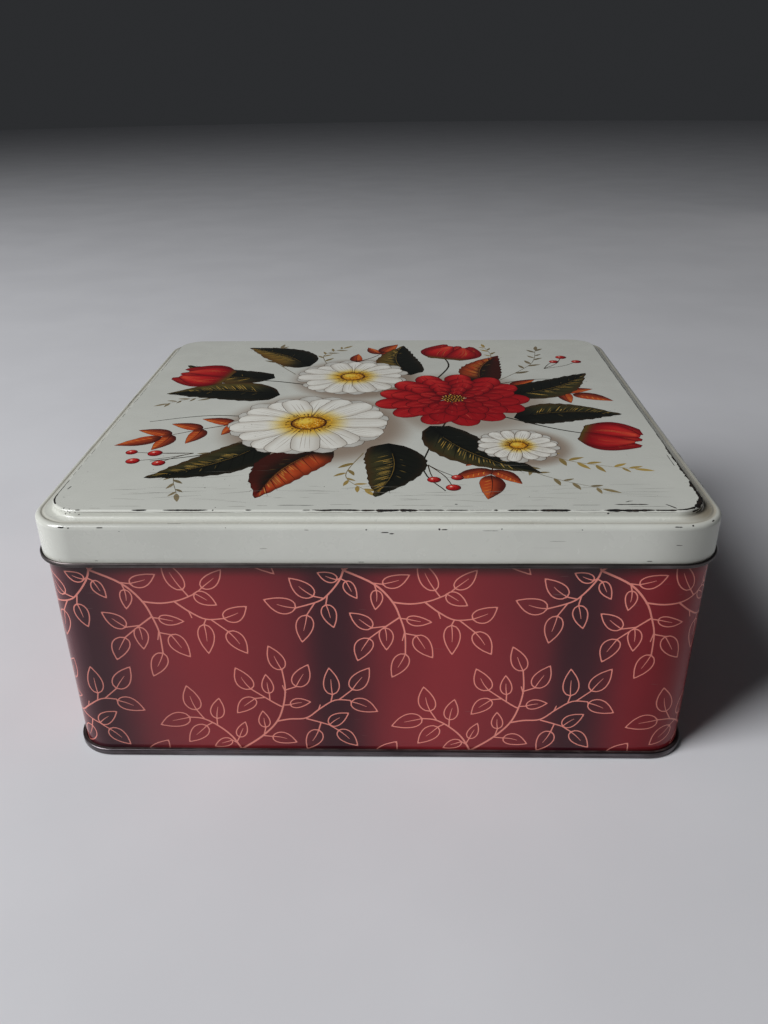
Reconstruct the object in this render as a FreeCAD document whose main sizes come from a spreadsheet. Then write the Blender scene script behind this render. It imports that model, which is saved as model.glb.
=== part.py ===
import FreeCAD, Part
import Sketcher
import math
import os

# Rectangular slip-lid tin: a drawn lid with a raised panel and a rolled hem,
# a wrapped wall with a lock seam, a curled top edge and a flanged foot, and a
# countersunk base panel double-seamed to the wall.
# Millimetres, +Z up, origin at the centre of the footprint on the surface the
# tin stands on, X along the long side, front towards -Y.

V = FreeCAD.Vector
doc = FreeCAD.newDocument("slip_lid_tin")

# ---------------------------------------------------------------- dimensions
sheet = doc.addObject("Spreadsheet::Sheet", "Params")
DIMENSIONS = [
    ("plate", 0.3),              # tinplate thickness
    ("lid_width", 250.0),        # over the skirt, left to right
    ("lid_depth", 232.4),        # over the skirt, front to back
    ("lid_corner", 16.0),        # plan radius of the skirt
    ("skirt_foot", 91.3),        # height where the skirt meets the hem
    ("ledge_top", 106.3),        # height of the ledge round the panel
    ("shoulder_radius", 2.0),    # ledge to skirt
    ("panel_top", 109.2),        # height of the raised panel
    ("panel_inset", 6.2),        # skirt face to the foot of the riser
    ("panel_corner", 12.2),      # plan radius of the raised panel
    ("riser_radius", 0.9),       # edge and foot of the riser
    ("hem_height", 1.9),         # rolled hem, bottom to top
    ("hem_out", 0.9),            # hem proud of the skirt
    ("wall_width", 247.2),       # over the wall, left to right
    ("wall_depth", 229.6),       # over the wall, front to back
    ("wall_corner", 14.6),       # plan radius of the wall
    ("wall_top", 105.7),         # top of the curled edge
    ("curl_radius", 1.3),        # outside radius of the curled edge
    ("seam_out", 1.7),           # double seam proud of the wall
    ("seam_height", 2.9),        # height of the double seam
    ("seam_gap", 0.15),          # play between seam layers
    ("seam_round", 0.6),         # outer corners of the seam
    ("base_height", 3.8),        # top of the countersunk base panel
    ("lock_width", 4.0),         # width of the lock seam's hooks
    ("lock_gap", 0.04),          # play between lock-seam layers
    ("lock_low", 4.4),           # lock seam starts above the foot
    ("lock_high", 102.4),        # lock seam ends below the curled edge
]
values = {}
for row, (name, number) in enumerate(DIMENSIONS, start=1):
    sheet.set("A%d" % row, name.replace("_", " "))
    sheet.set("B%d" % row, repr(number))
    sheet.setAlias("B%d" % row, name)
    values[name] = number
doc.recompute()


class Size:
    """A number together with the expression that gives it."""

    def __init__(self, number, text):
        self.number = number
        self.text = text

    @staticmethod
    def of(other):
        if isinstance(other, Size):
            return other
        return Size(float(other), repr(float(other)))

    def __add__(self, other):
        other = Size.of(other)
        return Size(self.number + other.number,
                    "(%s + %s)" % (self.text, other.text))

    def __sub__(self, other):
        other = Size.of(other)
        return Size(self.number - other.number,
                    "(%s - %s)" % (self.text, other.text))

    def __mul__(self, factor):
        return Size(self.number * factor,
                    "(%s * %s)" % (self.text, repr(float(factor))))

    def __truediv__(self, factor):
        return Size(self.number / factor,
                    "(%s / %s)" % (self.text, repr(float(factor))))


def dim(name):
    return Size(values[name], "Params." + name)


# ------------------------------------------------------------------ helpers
def origin_plane(body, role):
    for feature in body.Origin.OriginFeatures:
        if feature.Role == role:
            return feature
    raise RuntimeError("no plane " + role)


def new_sketch(body, name, role, lift=None):
    sketch = body.newObject("Sketcher::SketchObject", name)
    sketch.AttachmentSupport = (origin_plane(body, role), [""])
    sketch.MapMode = "FlatFace"
    if lift is not None:
        sketch.AttachmentOffset = FreeCAD.Placement(
            V(0, 0, lift.number), FreeCAD.Rotation())
        sketch.setExpression("AttachmentOffset.Base.z", lift.text)
    return sketch


def bind(sketch, kind, arguments, size):
    index = sketch.addConstraint(
        Sketcher.Constraint(kind, *arguments, size.number))
    sketch.setExpression("Constraints[%d]" % index, size.text)


def pin(sketch, geo, pos, x, y):
    """Hold a sketch point at x, y from the sketch origin."""
    for kind, size, axis in (("DistanceX", x, -2), ("DistanceY", y, -1)):
        if abs(size.number) < 1e-9:
            sketch.addConstraint(
                Sketcher.Constraint("PointOnObject", geo, pos, axis))
        elif size.number > 0:
            bind(sketch, kind, (-1, 1, geo, pos), size)
        else:
            bind(sketch, kind, (geo, pos, -1, 1), size * -1.0)


def rounded_rectangle(sketch, width, depth, radius):
    """Closed rounded rectangle round the origin that starts and ends at the
    middle of its right side."""
    x, y, r = width.number / 2, depth.number / 2, radius.number
    pi = math.pi

    def line(x0, y0, x1, y1):
        return sketch.addGeometry(
            Part.LineSegment(V(x0, y0, 0), V(x1, y1, 0)), False)

    def arc(cx, cy, a0, a1):
        return sketch.addGeometry(
            Part.ArcOfCircle(Part.Circle(V(cx, cy, 0), V(0, 0, 1), r),
                             a0, a1), False)

    loop = [
        line(x, 0, x, y - r), arc(x - r, y - r, 0, pi / 2),
        line(x - r, y, -x + r, y), arc(-x + r, y - r, pi / 2, pi),
        line(-x, y - r, -x, -y + r), arc(-x + r, -y + r, pi, 1.5 * pi),
        line(-x + r, -y, x - r, -y), arc(x - r, -y + r, 1.5 * pi, 2 * pi),
        line(x, -y + r, x, 0),
    ]
    for here, after in zip(loop, loop[1:] + loop[:1]):
        sketch.addConstraint(
            Sketcher.Constraint("Coincident", here, 2, after, 1))
    half_x, half_y = width / 2, depth / 2
    pin(sketch, loop[0], 1, half_x, Size(0.0, "0"))
    pin(sketch, loop[1], 1, half_x, half_y - radius)
    pin(sketch, loop[2], 1, half_x - radius, half_y)
    pin(sketch, loop[3], 1, (half_x - radius) * -1.0, half_y)
    pin(sketch, loop[4], 1, half_x * -1.0, half_y - radius)
    pin(sketch, loop[5], 1, half_x * -1.0, (half_y - radius) * -1.0)
    pin(sketch, loop[6], 1, (half_x - radius) * -1.0, half_y * -1.0)
    pin(sketch, loop[7], 1, half_x - radius, half_y * -1.0)
    pin(sketch, loop[8], 1, half_x, (half_y - radius) * -1.0)
    for index in (1, 3, 5, 7):
        bind(sketch, "Radius", (loop[index],), radius)
    return loop


def contour(sketch, points):
    """Closed contour through points. Each entry is (x, y) for a straight run
    to the next point, or (x, y, (cx, cy, radius, turn)) for an arc to it."""
    count = len(points)
    geometry = []
    for i in range(count):
        here, after = points[i], points[(i + 1) % count]
        x0, y0 = here[0].number, here[1].number
        x1, y1 = after[0].number, after[1].number
        if len(here) == 2:
            geo = sketch.addGeometry(
                Part.LineSegment(V(x0, y0, 0), V(x1, y1, 0)), False)
            geometry.append((geo, 1, 2))
            continue
        cx, cy, radius, turn = here[2]
        a0 = math.atan2(y0 - cy.number, x0 - cx.number)
        a1 = math.atan2(y1 - cy.number, x1 - cx.number)
        circle = Part.Circle(V(cx.number, cy.number, 0), V(0, 0, 1),
                             radius.number)
        if turn > 0:
            while a1 <= a0:
                a1 += 2 * math.pi
            geo = sketch.addGeometry(Part.ArcOfCircle(circle, a0, a1), False)
            geometry.append((geo, 1, 2))
        else:
            while a0 <= a1:
                a0 += 2 * math.pi
            geo = sketch.addGeometry(Part.ArcOfCircle(circle, a1, a0), False)
            geometry.append((geo, 2, 1))
        bind(sketch, "Radius", (geo,), radius)
    for i in range(count):
        geo, first, last = geometry[i]
        pin(sketch, geo, first, points[i][0], points[i][1])
        geo2, first2, last2 = geometry[(i + 1) % count]
        sketch.addConstraint(
            Sketcher.Constraint("Coincident", geo, last, geo2, first2))


def sweep(body, name, path, profile):
    pipe = body.newObject("PartDesign::AdditivePipe", name)
    pipe.Profile = profile
    pipe.Spine = (path, [])
    doc.recompute()
    return pipe


def edges_at(shape, height, tolerance=1e-4):
    """Names of the edges that lie flat at one height."""
    names = []
    for index, edge in enumerate(shape.Edges, start=1):
        box = edge.BoundBox
        if abs(box.ZMin - height) < tolerance and \
                abs(box.ZMax - height) < tolerance:
            names.append("Edge%d" % index)
    return names


plate = dim("plate")
zero = Size(0.0, "0")

# ---------------------------------------------------------------------- lid
lid = doc.addObject("PartDesign::Body", "Lid")
lid.Label = "lid"

lid_plan = new_sketch(lid, "LidPlan", "XY_Plane", dim("skirt_foot"))
rounded_rectangle(lid_plan, dim("lid_width"), dim("lid_depth"),
                  dim("lid_corner"))
lid_block = lid.newObject("PartDesign::Pad", "LidBlock")
lid_block.Profile = lid_plan
lid_block.setExpression("Length", "Params.ledge_top - Params.skirt_foot")
doc.recompute()

panel_plan = new_sketch(lid, "PanelPlan", "XY_Plane", dim("ledge_top"))
rounded_rectangle(panel_plan, dim("lid_width") - dim("panel_inset") * 2.0,
                  dim("lid_depth") - dim("panel_inset") * 2.0,
                  dim("panel_corner"))
panel_block = lid.newObject("PartDesign::Pad", "PanelBlock")
panel_block.Profile = panel_plan
panel_block.setExpression("Length", "Params.panel_top - Params.ledge_top")
doc.recompute()

# the panel's top edge and the foot of its riser
rounded_panel = lid.newObject("PartDesign::Fillet", "RiserEdges")
ledge_edges = []
for index, edge in enumerate(panel_block.Shape.Edges, start=1):
    box = edge.BoundBox
    flat = abs(box.ZMax - box.ZMin) < 1e-4
    inside = max(abs(box.XMin), abs(box.XMax)) < \
        values["lid_width"] / 2 - 1.0 and \
        max(abs(box.YMin), abs(box.YMax)) < values["lid_depth"] / 2 - 1.0
    if flat and inside and box.ZMin > values["ledge_top"] - 1e-4:
        ledge_edges.append("Edge%d" % index)
rounded_panel.Base = (panel_block, ledge_edges)
rounded_panel.setExpression("Radius", "Params.riser_radius")
doc.recompute()

# the shoulder
shoulder = lid.newObject("PartDesign::Fillet", "Shoulder")
shoulder_edges = []
for index, edge in enumerate(rounded_panel.Shape.Edges, start=1):
    box = edge.BoundBox
    flat = abs(box.ZMax - box.ZMin) < 1e-4
    middle = edge.valueAt((edge.FirstParameter + edge.LastParameter) / 2)
    reach_x = values["lid_width"] / 2 - abs(middle.x)
    reach_y = values["lid_depth"] / 2 - abs(middle.y)
    if flat and abs(box.ZMin - values["ledge_top"]) < 1e-4 and \
            (min(reach_x, reach_y) < 0.01 or
             (reach_x < values["lid_corner"] * 0.32 and
              reach_y < values["lid_corner"] * 0.32)):
        shoulder_edges.append("Edge%d" % index)
shoulder.Base = (rounded_panel, shoulder_edges)
shoulder.setExpression("Radius", "Params.shoulder_radius")
doc.recompute()

# hollow it to the plate's thickness, open underneath
lid_shell = lid.newObject("PartDesign::Thickness", "LidShell")
foot_face = None
for index, face in enumerate(shoulder.Shape.Faces, start=1):
    box = face.BoundBox
    if abs(box.ZMax - values["skirt_foot"]) < 1e-4:
        foot_face = "Face%d" % index
lid_shell.Base = (shoulder, [foot_face])
lid_shell.setExpression("Value", "Params.plate")
lid_shell.Reversed = True
lid_shell.Mode = 0
lid_shell.Join = 0
doc.recompute()

# hem rolled outwards at the foot of the skirt: the plate turns down and out
# in a flattened roll and comes back to the skirt's face
hem_path = new_sketch(lid, "HemPath", "XY_Plane")
rounded_rectangle(hem_path, dim("lid_width"), dim("lid_depth"),
                  dim("lid_corner"))
hem_profile = new_sketch(lid, "HemProfile", "XZ_Plane")
face_x = dim("lid_width") / 2
foot_z = dim("skirt_foot")
outer_r = (dim("hem_out") + plate) / 2       # half the roll's width
inner_r = outer_r - plate
mid_x = face_x - plate + outer_r
low_z = foot_z - dim("hem_height") + outer_r  # centre of the lower turn
high_z = foot_z - outer_r                     # centre of the upper turn
contour(hem_profile, [
    (face_x - plate, foot_z),
    (face_x - plate, low_z, (mid_x, low_z, outer_r, 1)),
    (mid_x, low_z - outer_r, (mid_x, low_z, outer_r, 1)),
    (mid_x + outer_r, low_z),
    (mid_x + outer_r, high_z, (mid_x, high_z, outer_r, 1)),
    (mid_x, high_z + outer_r),
    (mid_x, high_z + inner_r, (mid_x, high_z, inner_r, -1)),
    (mid_x + inner_r, high_z),
    (mid_x + inner_r, low_z, (mid_x, low_z, inner_r, -1)),
    (mid_x, low_z - inner_r, (mid_x, low_z, inner_r, -1)),
    (mid_x - inner_r, low_z),
    (mid_x - inner_r, foot_z),
])
hem = sweep(lid, "Hem", hem_path, hem_profile)

# --------------------------------------------------------------------- wall
wall = doc.addObject("PartDesign::Body", "BodyWall")
wall.Label = "body_wall"

wall_path = new_sketch(wall, "WallPath", "XY_Plane")
rounded_rectangle(wall_path, dim("wall_width"), dim("wall_depth"),
                  dim("wall_corner"))
wall_profile = new_sketch(wall, "WallProfile", "XZ_Plane")
face_x = dim("wall_width") / 2
gap = dim("seam_gap")
curl = dim("curl_radius")
curl_x = face_x - curl
curl_z = dim("wall_top") - curl
inner_curl = curl - plate
end = math.radians(300.0)
hook_out = face_x + dim("seam_out") - plate - gap * 2.0
contour(wall_profile, [
    # top edge curled inwards
    (face_x, curl_z, (curl_x, curl_z, curl, 1)),
    (curl_x + curl * math.cos(end), curl_z + curl * math.sin(end)),
    (curl_x + inner_curl * math.cos(end),
     curl_z + inner_curl * math.sin(end),
     (curl_x, curl_z, inner_curl, -1)),
    (face_x - plate, curl_z),
    # inner face down to the foot, flange out and hook up into the seam
    (face_x - plate, plate),
    (hook_out, plate),
    (hook_out, dim("seam_height") - plate - gap * 2.0),
    (hook_out - plate, dim("seam_height") - plate - gap * 2.0),
    (hook_out - plate, plate * 2.0),
    (face_x, plate * 2.0),
])
wall_sheet = sweep(wall, "WallSheet", wall_path, wall_profile)

# slot for the lock seam in the middle of the back, between foot and curl
slot_plan = new_sketch(wall, "LockSlotPlan", "XY_Plane", dim("lock_low"))
back = dim("wall_depth") / 2
lock = dim("lock_width")
slack = dim("lock_gap")
step = plate + slack
slot_left = lock * -0.5 - plate * 3.0
slot_right = lock * 0.5 + plate * 5.0
contour(slot_plan, [
    (slot_left, back - plate * 2.0),
    (slot_right, back - plate * 2.0),
    (slot_right, back + plate),
    (slot_left, back + plate),
])
lock_slot = wall.newObject("PartDesign::Pocket", "LockSlot")
lock_slot.Profile = slot_plan
lock_slot.Reversed = True
lock_slot.setExpression("Length", "Params.lock_high - Params.lock_low")
doc.recompute()
if not lock_slot.Shape.Volume < wall_sheet.Shape.Volume - 50:
    raise RuntimeError("the lock-seam slot cut nothing")

# the two folded ends, hooked into each other; the outside stays flush and the
# four layers stand inwards
lock_plan = new_sketch(wall, "LockPlan", "XY_Plane", dim("lock_low"))
left = lock * -0.5
right = lock * 0.5


def layer(number):
    """Outer and inner face of a seam layer, counted from outside."""
    top = back - step * float(number)
    return top, top - plate


a_top, a_bottom = layer(0)
b_top, b_bottom = layer(1)
c_top, c_bottom = layer(2)
d_top, d_bottom = layer(3)
# end that stays outside and folds back inwards
contour(lock_plan, [
    (slot_left, a_bottom),
    (right - plate, a_bottom),
    (right - plate, c_top),
    (left + plate + slack, c_top),
    (left + plate + slack, c_bottom),
    (right, c_bottom),
    (right, a_top),
    (slot_left, a_top),
])
# end that steps in under it and folds back outwards
contour(lock_plan, [
    (slot_right, a_top),
    (right + slack + plate * 2.0, a_top),
    (right + slack + plate * 2.0, d_top),
    (left + plate, d_top),
    (left + plate, b_bottom),
    (right - plate - slack, b_bottom),
    (right - plate - slack, b_top),
    (left, b_top),
    (left, d_bottom),
    (right + slack + plate * 3.0, d_bottom),
    (right + slack + plate * 3.0, a_bottom),
    (slot_right, a_bottom),
])
lock_seam = wall.newObject("PartDesign::Pad", "LockSeam")
lock_seam.Profile = lock_plan
lock_seam.setExpression("Length", "Params.lock_high - Params.lock_low")
doc.recompute()

# --------------------------------------------------------------------- base
base = doc.addObject("PartDesign::Body", "BasePanel")
base.Label = "base_panel"

base_path = new_sketch(base, "BasePath", "XY_Plane")
rounded_rectangle(base_path, dim("wall_width"), dim("wall_depth"),
                  dim("wall_corner"))
base_profile = new_sketch(base, "BaseProfile", "XZ_Plane")
seam_x = face_x + dim("seam_out")
chuck = face_x - plate - gap               # outer face of the countersink
round_out = dim("seam_round")
round_in = round_out - plate
top_z = dim("seam_height")
base_z = dim("base_height")
contour(base_profile, [
    # underside of the seam, turning up into its outer wall and over its top
    (chuck - plate, zero),
    (seam_x - round_out, zero,
     (seam_x - round_out, round_out, round_out, 1)),
    (seam_x, round_out),
    (seam_x, top_z - round_out,
     (seam_x - round_out, top_z - round_out, round_out, 1)),
    (seam_x - round_out, top_z),
    (face_x + gap, top_z),
    # hook tucked down between wall and flange
    (face_x + gap, plate * 2.0 + gap),
    (face_x + gap + plate, plate * 2.0 + gap),
    (face_x + gap + plate, top_z - plate),
    (seam_x - round_out, top_z - plate,
     (seam_x - round_out, top_z - round_out, round_in, -1)),
    (seam_x - plate, top_z - round_out),
    (seam_x - plate, round_out,
     (seam_x - round_out, round_out, round_in, -1)),
    (seam_x - round_out, plate),
    # countersink up inside the wall, and the start of the panel
    (chuck, plate),
    (chuck, base_z),
    (chuck - 2.0, base_z),
    (chuck - 2.0, base_z - plate),
    (chuck - plate, base_z - plate),
])
base_rim = sweep(base, "BaseRim", base_path, base_profile)

floor_plan = new_sketch(base, "FloorPlan", "XY_Plane", base_z - plate)
inset = (plate + gap + 1.0) * 2.0
rounded_rectangle(floor_plan, dim("wall_width") - inset,
                  dim("wall_depth") - inset,
                  dim("wall_corner") - inset / 2)
floor_pad = base.newObject("PartDesign::Pad", "Floor")
floor_pad.Profile = floor_plan
floor_pad.setExpression("Length", "Params.plate")
doc.recompute()

# ------------------------------------------------------------------- export
doc.recompute()
failed = [o.Name for o in doc.Objects
          if "Invalid" in o.State or "Error" in o.State]
if failed:
    raise RuntimeError("failed objects: " + ", ".join(failed))

os.makedirs("parts", exist_ok=True)
for body in (lid, wall, base):
    shape = body.Shape
    if shape.isNull() or not shape.isValid():
        raise RuntimeError(body.Label + " has no valid shape")
    if len(shape.Solids) != 1:
        raise RuntimeError("%s is %d solids" % (body.Label,
                                                len(shape.Solids)))
    shape.exportStep("parts/%s.step" % body.Label)
    box = shape.BoundBox
    print("%-12s %9.1f mm3  x %.2f..%.2f  y %.2f..%.2f  z %.2f..%.2f" % (
        body.Label, shape.Volume, box.XMin, box.XMax, box.YMin, box.YMax,
        box.ZMin, box.ZMax))
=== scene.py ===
import bisect
import math
import random

import bpy
from mathutils import Matrix, Vector, noise
from mathutils.geometry import delaunay_2d_cdt


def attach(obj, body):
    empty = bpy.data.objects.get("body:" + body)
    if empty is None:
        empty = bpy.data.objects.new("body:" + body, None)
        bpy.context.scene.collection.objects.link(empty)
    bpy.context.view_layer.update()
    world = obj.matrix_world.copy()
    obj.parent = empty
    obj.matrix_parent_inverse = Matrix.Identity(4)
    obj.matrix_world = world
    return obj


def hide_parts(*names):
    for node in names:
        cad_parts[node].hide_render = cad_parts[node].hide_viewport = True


# Printed slip-lid tin. Lengths below are millimetres in the part's frame and
# turn into metres where a mesh is written.

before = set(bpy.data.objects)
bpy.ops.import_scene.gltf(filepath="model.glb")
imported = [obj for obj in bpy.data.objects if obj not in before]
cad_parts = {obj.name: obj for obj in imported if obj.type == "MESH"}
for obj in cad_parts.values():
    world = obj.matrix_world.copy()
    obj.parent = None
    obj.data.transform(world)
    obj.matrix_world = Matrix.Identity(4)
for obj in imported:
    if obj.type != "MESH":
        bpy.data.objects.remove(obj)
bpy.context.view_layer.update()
scene = bpy.context.scene

MM = 0.001
PI = math.pi

# lid
LX, LY, LR = 125.0, 116.2, 16.0          # skirt half sizes and corner
PLATE = 0.3
SKIRT_FOOT, LEDGE, PANEL = 91.3, 106.3, 109.2
SHOULDER, RISER_R, RISER_U, PANEL_R = 2.0, 0.9, 6.2, 12.2
HEM_H, HEM_OUT = 1.9, 0.9
# wall
WX, WY, WR = 123.6, 114.8, 14.6
WALL_TOP, CURL = 105.7, 1.3
# base
SEAM_OUT, SEAM_H, SEAM_R, BASE_Z, SEAM_GAP = 1.7, 2.9, 0.6, 3.8, 0.15


# ------------------------------------------------------------------ numbers
def clamp(x, a=0.0, b=1.0):
    return a if x < a else b if x > b else x


def lerp(a, b, t):
    return a + (b - a) * t


def smooth(a, b, x):
    t = clamp((x - a) / (b - a))
    return t * t * (3 - 2 * t)


def mix(c0, c1, t):
    t = clamp(t)
    return tuple(a + (b - a) * t for a, b in zip(c0, c1))


def linear(c):
    """0..255 display colour to linear light. The fourth value is how much of
    the coating is left, 1 unless given."""
    out = []
    for k in c[:3]:
        k = clamp(k / 255.0)
        out.append(k / 12.92 if k <= 0.04045 else ((k + 0.055) / 1.055) ** 2.4)
    return (out[0], out[1], out[2], c[3] if len(c) > 3 else 1.0)


def waves(x, y, scale, seed):
    return noise.noise(Vector((x / scale + seed * 7.31, y / scale - seed * 3.7,
                               seed * 1.93)))


# ------------------------------------------------------ rounded-rectangle loops
def loop_stations(n_corner, n_side_x, n_side_y):
    """Stations round a rounded rectangle, counter-clockwise from the middle of
    the back: ("side", index, 0..1) or ("corner", index, 0..1)."""
    out = []

    def side(k, n, a, b):
        for i in range(n):
            out.append(("side", k, lerp(a, b, i / n)))

    def corner(k):
        for i in range(n_corner):
            out.append(("corner", k, i / n_corner))

    side(0, n_side_x // 2, 0.5, 1.0)      # back, middle to left
    corner(0)
    side(1, n_side_y, 0.0, 1.0)           # left
    corner(1)
    side(2, n_side_x, 0.0, 1.0)           # front
    corner(2)
    side(3, n_side_y, 0.0, 1.0)           # right
    corner(3)
    side(0, n_side_x // 2, 0.0, 0.5)      # back, right to middle
    return out


def loop_point(station, hx, hy, r):
    """(x, y) and the outward direction at a station."""
    kind, k, f = station
    if kind == "side":
        if k == 0:
            return (lerp(hx - r, -hx + r, f), hy), (0.0, 1.0)
        if k == 1:
            return (-hx, lerp(hy - r, -hy + r, f)), (-1.0, 0.0)
        if k == 2:
            return (lerp(-hx + r, hx - r, f), -hy), (0.0, -1.0)
        return (hx, lerp(-hy + r, hy - r, f)), (1.0, 0.0)
    centre = ((-hx + r, hy - r), (-hx + r, -hy + r),
              (hx - r, -hy + r), (hx - r, hy - r))[k]
    a = (PI / 2, PI, 1.5 * PI, 0.0)[k] + f * PI / 2
    o = (math.cos(a), math.sin(a))
    return (centre[0] + r * o[0], centre[1] + r * o[1]), o


def loop_length(stations, hx, hy, r):
    """Distance along the loop of each station, with the whole length last."""
    total, out, last = 0.0, [], None
    for st in stations + stations[:1]:
        kind, k, f = st
        p, o = loop_point(st, hx, hy, r)
        if last is not None:
            total += math.hypot(p[0] - last[0], p[1] - last[1])
        out.append(total)
        last = p
    return out


# ------------------------------------------------------------------ profiles
class Profile:
    """A path in (u, z): u is the distance inwards from an outer face. The
    surface faces the right-hand side of the path."""

    def __init__(self, u, z):
        self.points = [(u, z)]
        self.normals = []      # per segment: normal at its start, at its end
        self.tags = []

    def line(self, u, z, tag, n=1):
        u0, z0 = self.points[-1]
        d = math.hypot(u - u0, z - z0)
        nrm = ((z - z0) / d, -(u - u0) / d)
        for i in range(1, n + 1):
            self.points.append((lerp(u0, u, i / n), lerp(z0, z, i / n)))
            self.normals.append((nrm, nrm))
            self.tags.append(tag)
        return self

    def arc(self, cu, cz, r, a0, a1, n, tag, convex=True):
        sign = 1.0 if convex else -1.0
        a0, a1 = math.radians(a0), math.radians(a1)
        last = a0
        for i in range(1, n + 1):
            a = lerp(a0, a1, i / n)
            self.points.append((cu + r * math.cos(a), cz + r * math.sin(a)))
            self.normals.append((
                (sign * math.cos(last), sign * math.sin(last)),
                (sign * math.cos(a), sign * math.sin(a))))
            self.tags.append(tag)
            last = a
        return self

    def curve(self, steps, height, tag):
        """Through (u, height(u)) for each u, with smooth normals."""
        def normal(u, sign):
            g = (height(u + 0.01) - height(u - 0.01)) / 0.02
            d = math.hypot(1.0, g)
            return (-g / d, 1.0 / d)

        last = self.points[-1][0]
        for u in steps:
            self.points.append((u, height(u)))
            self.normals.append((normal(last, 1), normal(u, 1)))
            self.tags.append(tag)
            last = u
        return self

    def lengths(self):
        out = [0.0]
        for a, b in zip(self.points, self.points[1:]):
            out.append(out[-1] + math.hypot(b[0] - a[0], b[1] - a[1]))
        return out


# -------------------------------------------------------------- mesh builder
class Shell:
    """Collects faces with their own corner normals, colours and maps."""

    def __init__(self):
        self.verts = []
        self.faces = []
        self.mats = []
        self.normals = []
        self.colours = []
        self.wear = []
        self.bake = []

    def vert(self, p):
        self.verts.append((p[0] * MM, p[1] * MM, p[2] * MM))
        return len(self.verts) - 1

    def face(self, ids, mat, normals, colours, wear, bake):
        self.faces.append(tuple(ids))
        self.mats.append(mat)
        self.normals.extend(normals)
        self.colours.extend(colours)
        self.wear.extend(wear)
        self.bake.extend(bake)

    def build(self, name, materials):
        mesh = bpy.data.meshes.new(name)
        used = sorted({i for f in self.faces for i in f})
        new = {i: k for k, i in enumerate(used)}
        mesh.from_pydata([self.verts[i] for i in used], [],
                         [tuple(new[i] for i in f) for f in self.faces])
        for m in materials:
            mesh.materials.append(m)
        mesh.polygons.foreach_set("material_index", self.mats)
        mesh.polygons.foreach_set("use_smooth", [True] * len(self.faces))
        col = mesh.color_attributes.new("print", "FLOAT_COLOR", "CORNER")
        flat = [k for c in self.colours for k in c]
        col.data.foreach_set("color", flat)
        for label, values in (("OFBake", self.bake), ("wear", self.wear)):
            layer = mesh.uv_layers.new(name=label)
            layer.data.foreach_set("uv", [k for c in values for k in c])
        mesh.normals_split_custom_set(
            [Vector(n).normalized() for n in self.normals])
        mesh.update()
        ob = bpy.data.objects.new(name, mesh)
        scene.collection.objects.link(ob)
        return ob


# ---------------------------------------------------------------- vector print
def signed_area(points):
    n = len(points)
    return sum(points[i][0] * points[(i + 1) % n][1]
               - points[(i + 1) % n][0] * points[i][1] for i in range(n)) / 2


def within(points, x, y):
    """Whether x, y is inside an outline."""
    hit = False
    ax, ay = points[-1]
    for bx, by in points:
        if (ay > y) != (by > y) and x < (bx - ax) * (y - ay) / (by - ay) + ax:
            hit = not hit
        ax, ay = bx, by
    return hit


class Print:
    """Flat shapes painted over each other; each has an outline and a colour
    that may change from point to point."""

    def __init__(self):
        self.shapes = []       # (points, colour function)

    def add(self, points, colour):
        if len(points) < 3:
            return
        if signed_area(points) < 0:
            points = points[::-1]
        self.shapes.append((points, colour if callable(colour)
                            else (lambda x, y, c=colour: c)))

    def stroke(self, path, w0, w1=None, w2=None, colour=(0, 0, 0)):
        """A stroke whose width runs from w0 over w1 to w2."""
        w1 = w0 if w1 is None else w1
        w2 = w1 if w2 is None else w2
        left, right = [], []
        n = len(path)
        for i, (x, y) in enumerate(path):
            a = path[max(i - 1, 0)]
            b = path[min(i + 1, n - 1)]
            dx, dy = b[0] - a[0], b[1] - a[1]
            d = math.hypot(dx, dy) or 1.0
            t = i / (n - 1)
            w = (lerp(w0, w1, t * 2) if t < 0.5
                 else lerp(w1, w2, t * 2 - 1)) / 2
            w = max(w, 0.02)
            left.append((x - dy / d * w, y + dx / d * w))
            right.append((x + dy / d * w, y - dx / d * w))
        self.add(left + right[::-1], colour)

    def disc(self, x, y, r, colour, n=14):
        self.add([(x + r * math.cos(2 * PI * i / n),
                   y + r * math.sin(2 * PI * i / n)) for i in range(n)],
                 colour)

    def triangulate(self, border, edges, points, background, links=()):
        """Triangles of the whole picture inside border. Returns the flat
        vertices, which border or inner point each one is (or -1), the
        triangles and the colour of each corner. links are lines between
        border and inner points, by number."""
        verts = [Vector(p) for p in border] + [Vector(p) for p in points]
        faces = [list(range(len(border)))]
        lines = list(links)
        for a, b in edges:
            verts += [Vector(a), Vector(b)]
            lines.append((len(verts) - 2, len(verts) - 1))
        for pts, _ in self.shapes:
            first = len(verts)
            verts += [Vector(p) for p in pts]
            faces.append(list(range(first, len(verts))))
        v2, _, f2, ov, _, of = delaunay_2d_cdt(verts, lines, faces, 1, 1e-4,
                                               True)
        count = len(border) + len(points)
        own = []
        for src in ov:
            hit = [i for i in src if i < count]
            own.append(hit[0] if hit else -1)
        tris, cols = [], []
        for f, src in zip(f2, of):
            if 0 not in src:
                continue
            ids = list(f)
            a, b, c = (v2[i] for i in ids)
            mx, my = (a.x + b.x + c.x) / 3, (a.y + b.y + c.y) / 3
            fill = background
            for top in sorted(src, reverse=True):
                if top == 0:
                    break
                if within(self.shapes[top - 1][0], mx, my):
                    fill = self.shapes[top - 1][1]
                    break
            if (b - a).cross(c - a) < 0:
                ids.reverse()
            tris.append(ids)
            cols.append([linear(fill(v2[i].x, v2[i].y)) for i in ids])
        return v2, own, tris, cols


def bezier(p0, p1, p2, p3, n):
    out = []
    for i in range(n + 1):
        t = i / n
        s = 1 - t
        out.append((s ** 3 * p0[0] + 3 * s * s * t * p1[0]
                    + 3 * s * t * t * p2[0] + t ** 3 * p3[0],
                    s ** 3 * p0[1] + 3 * s * s * t * p1[1]
                    + 3 * s * t * t * p2[1] + t ** 3 * p3[1]))
    return out


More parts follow.
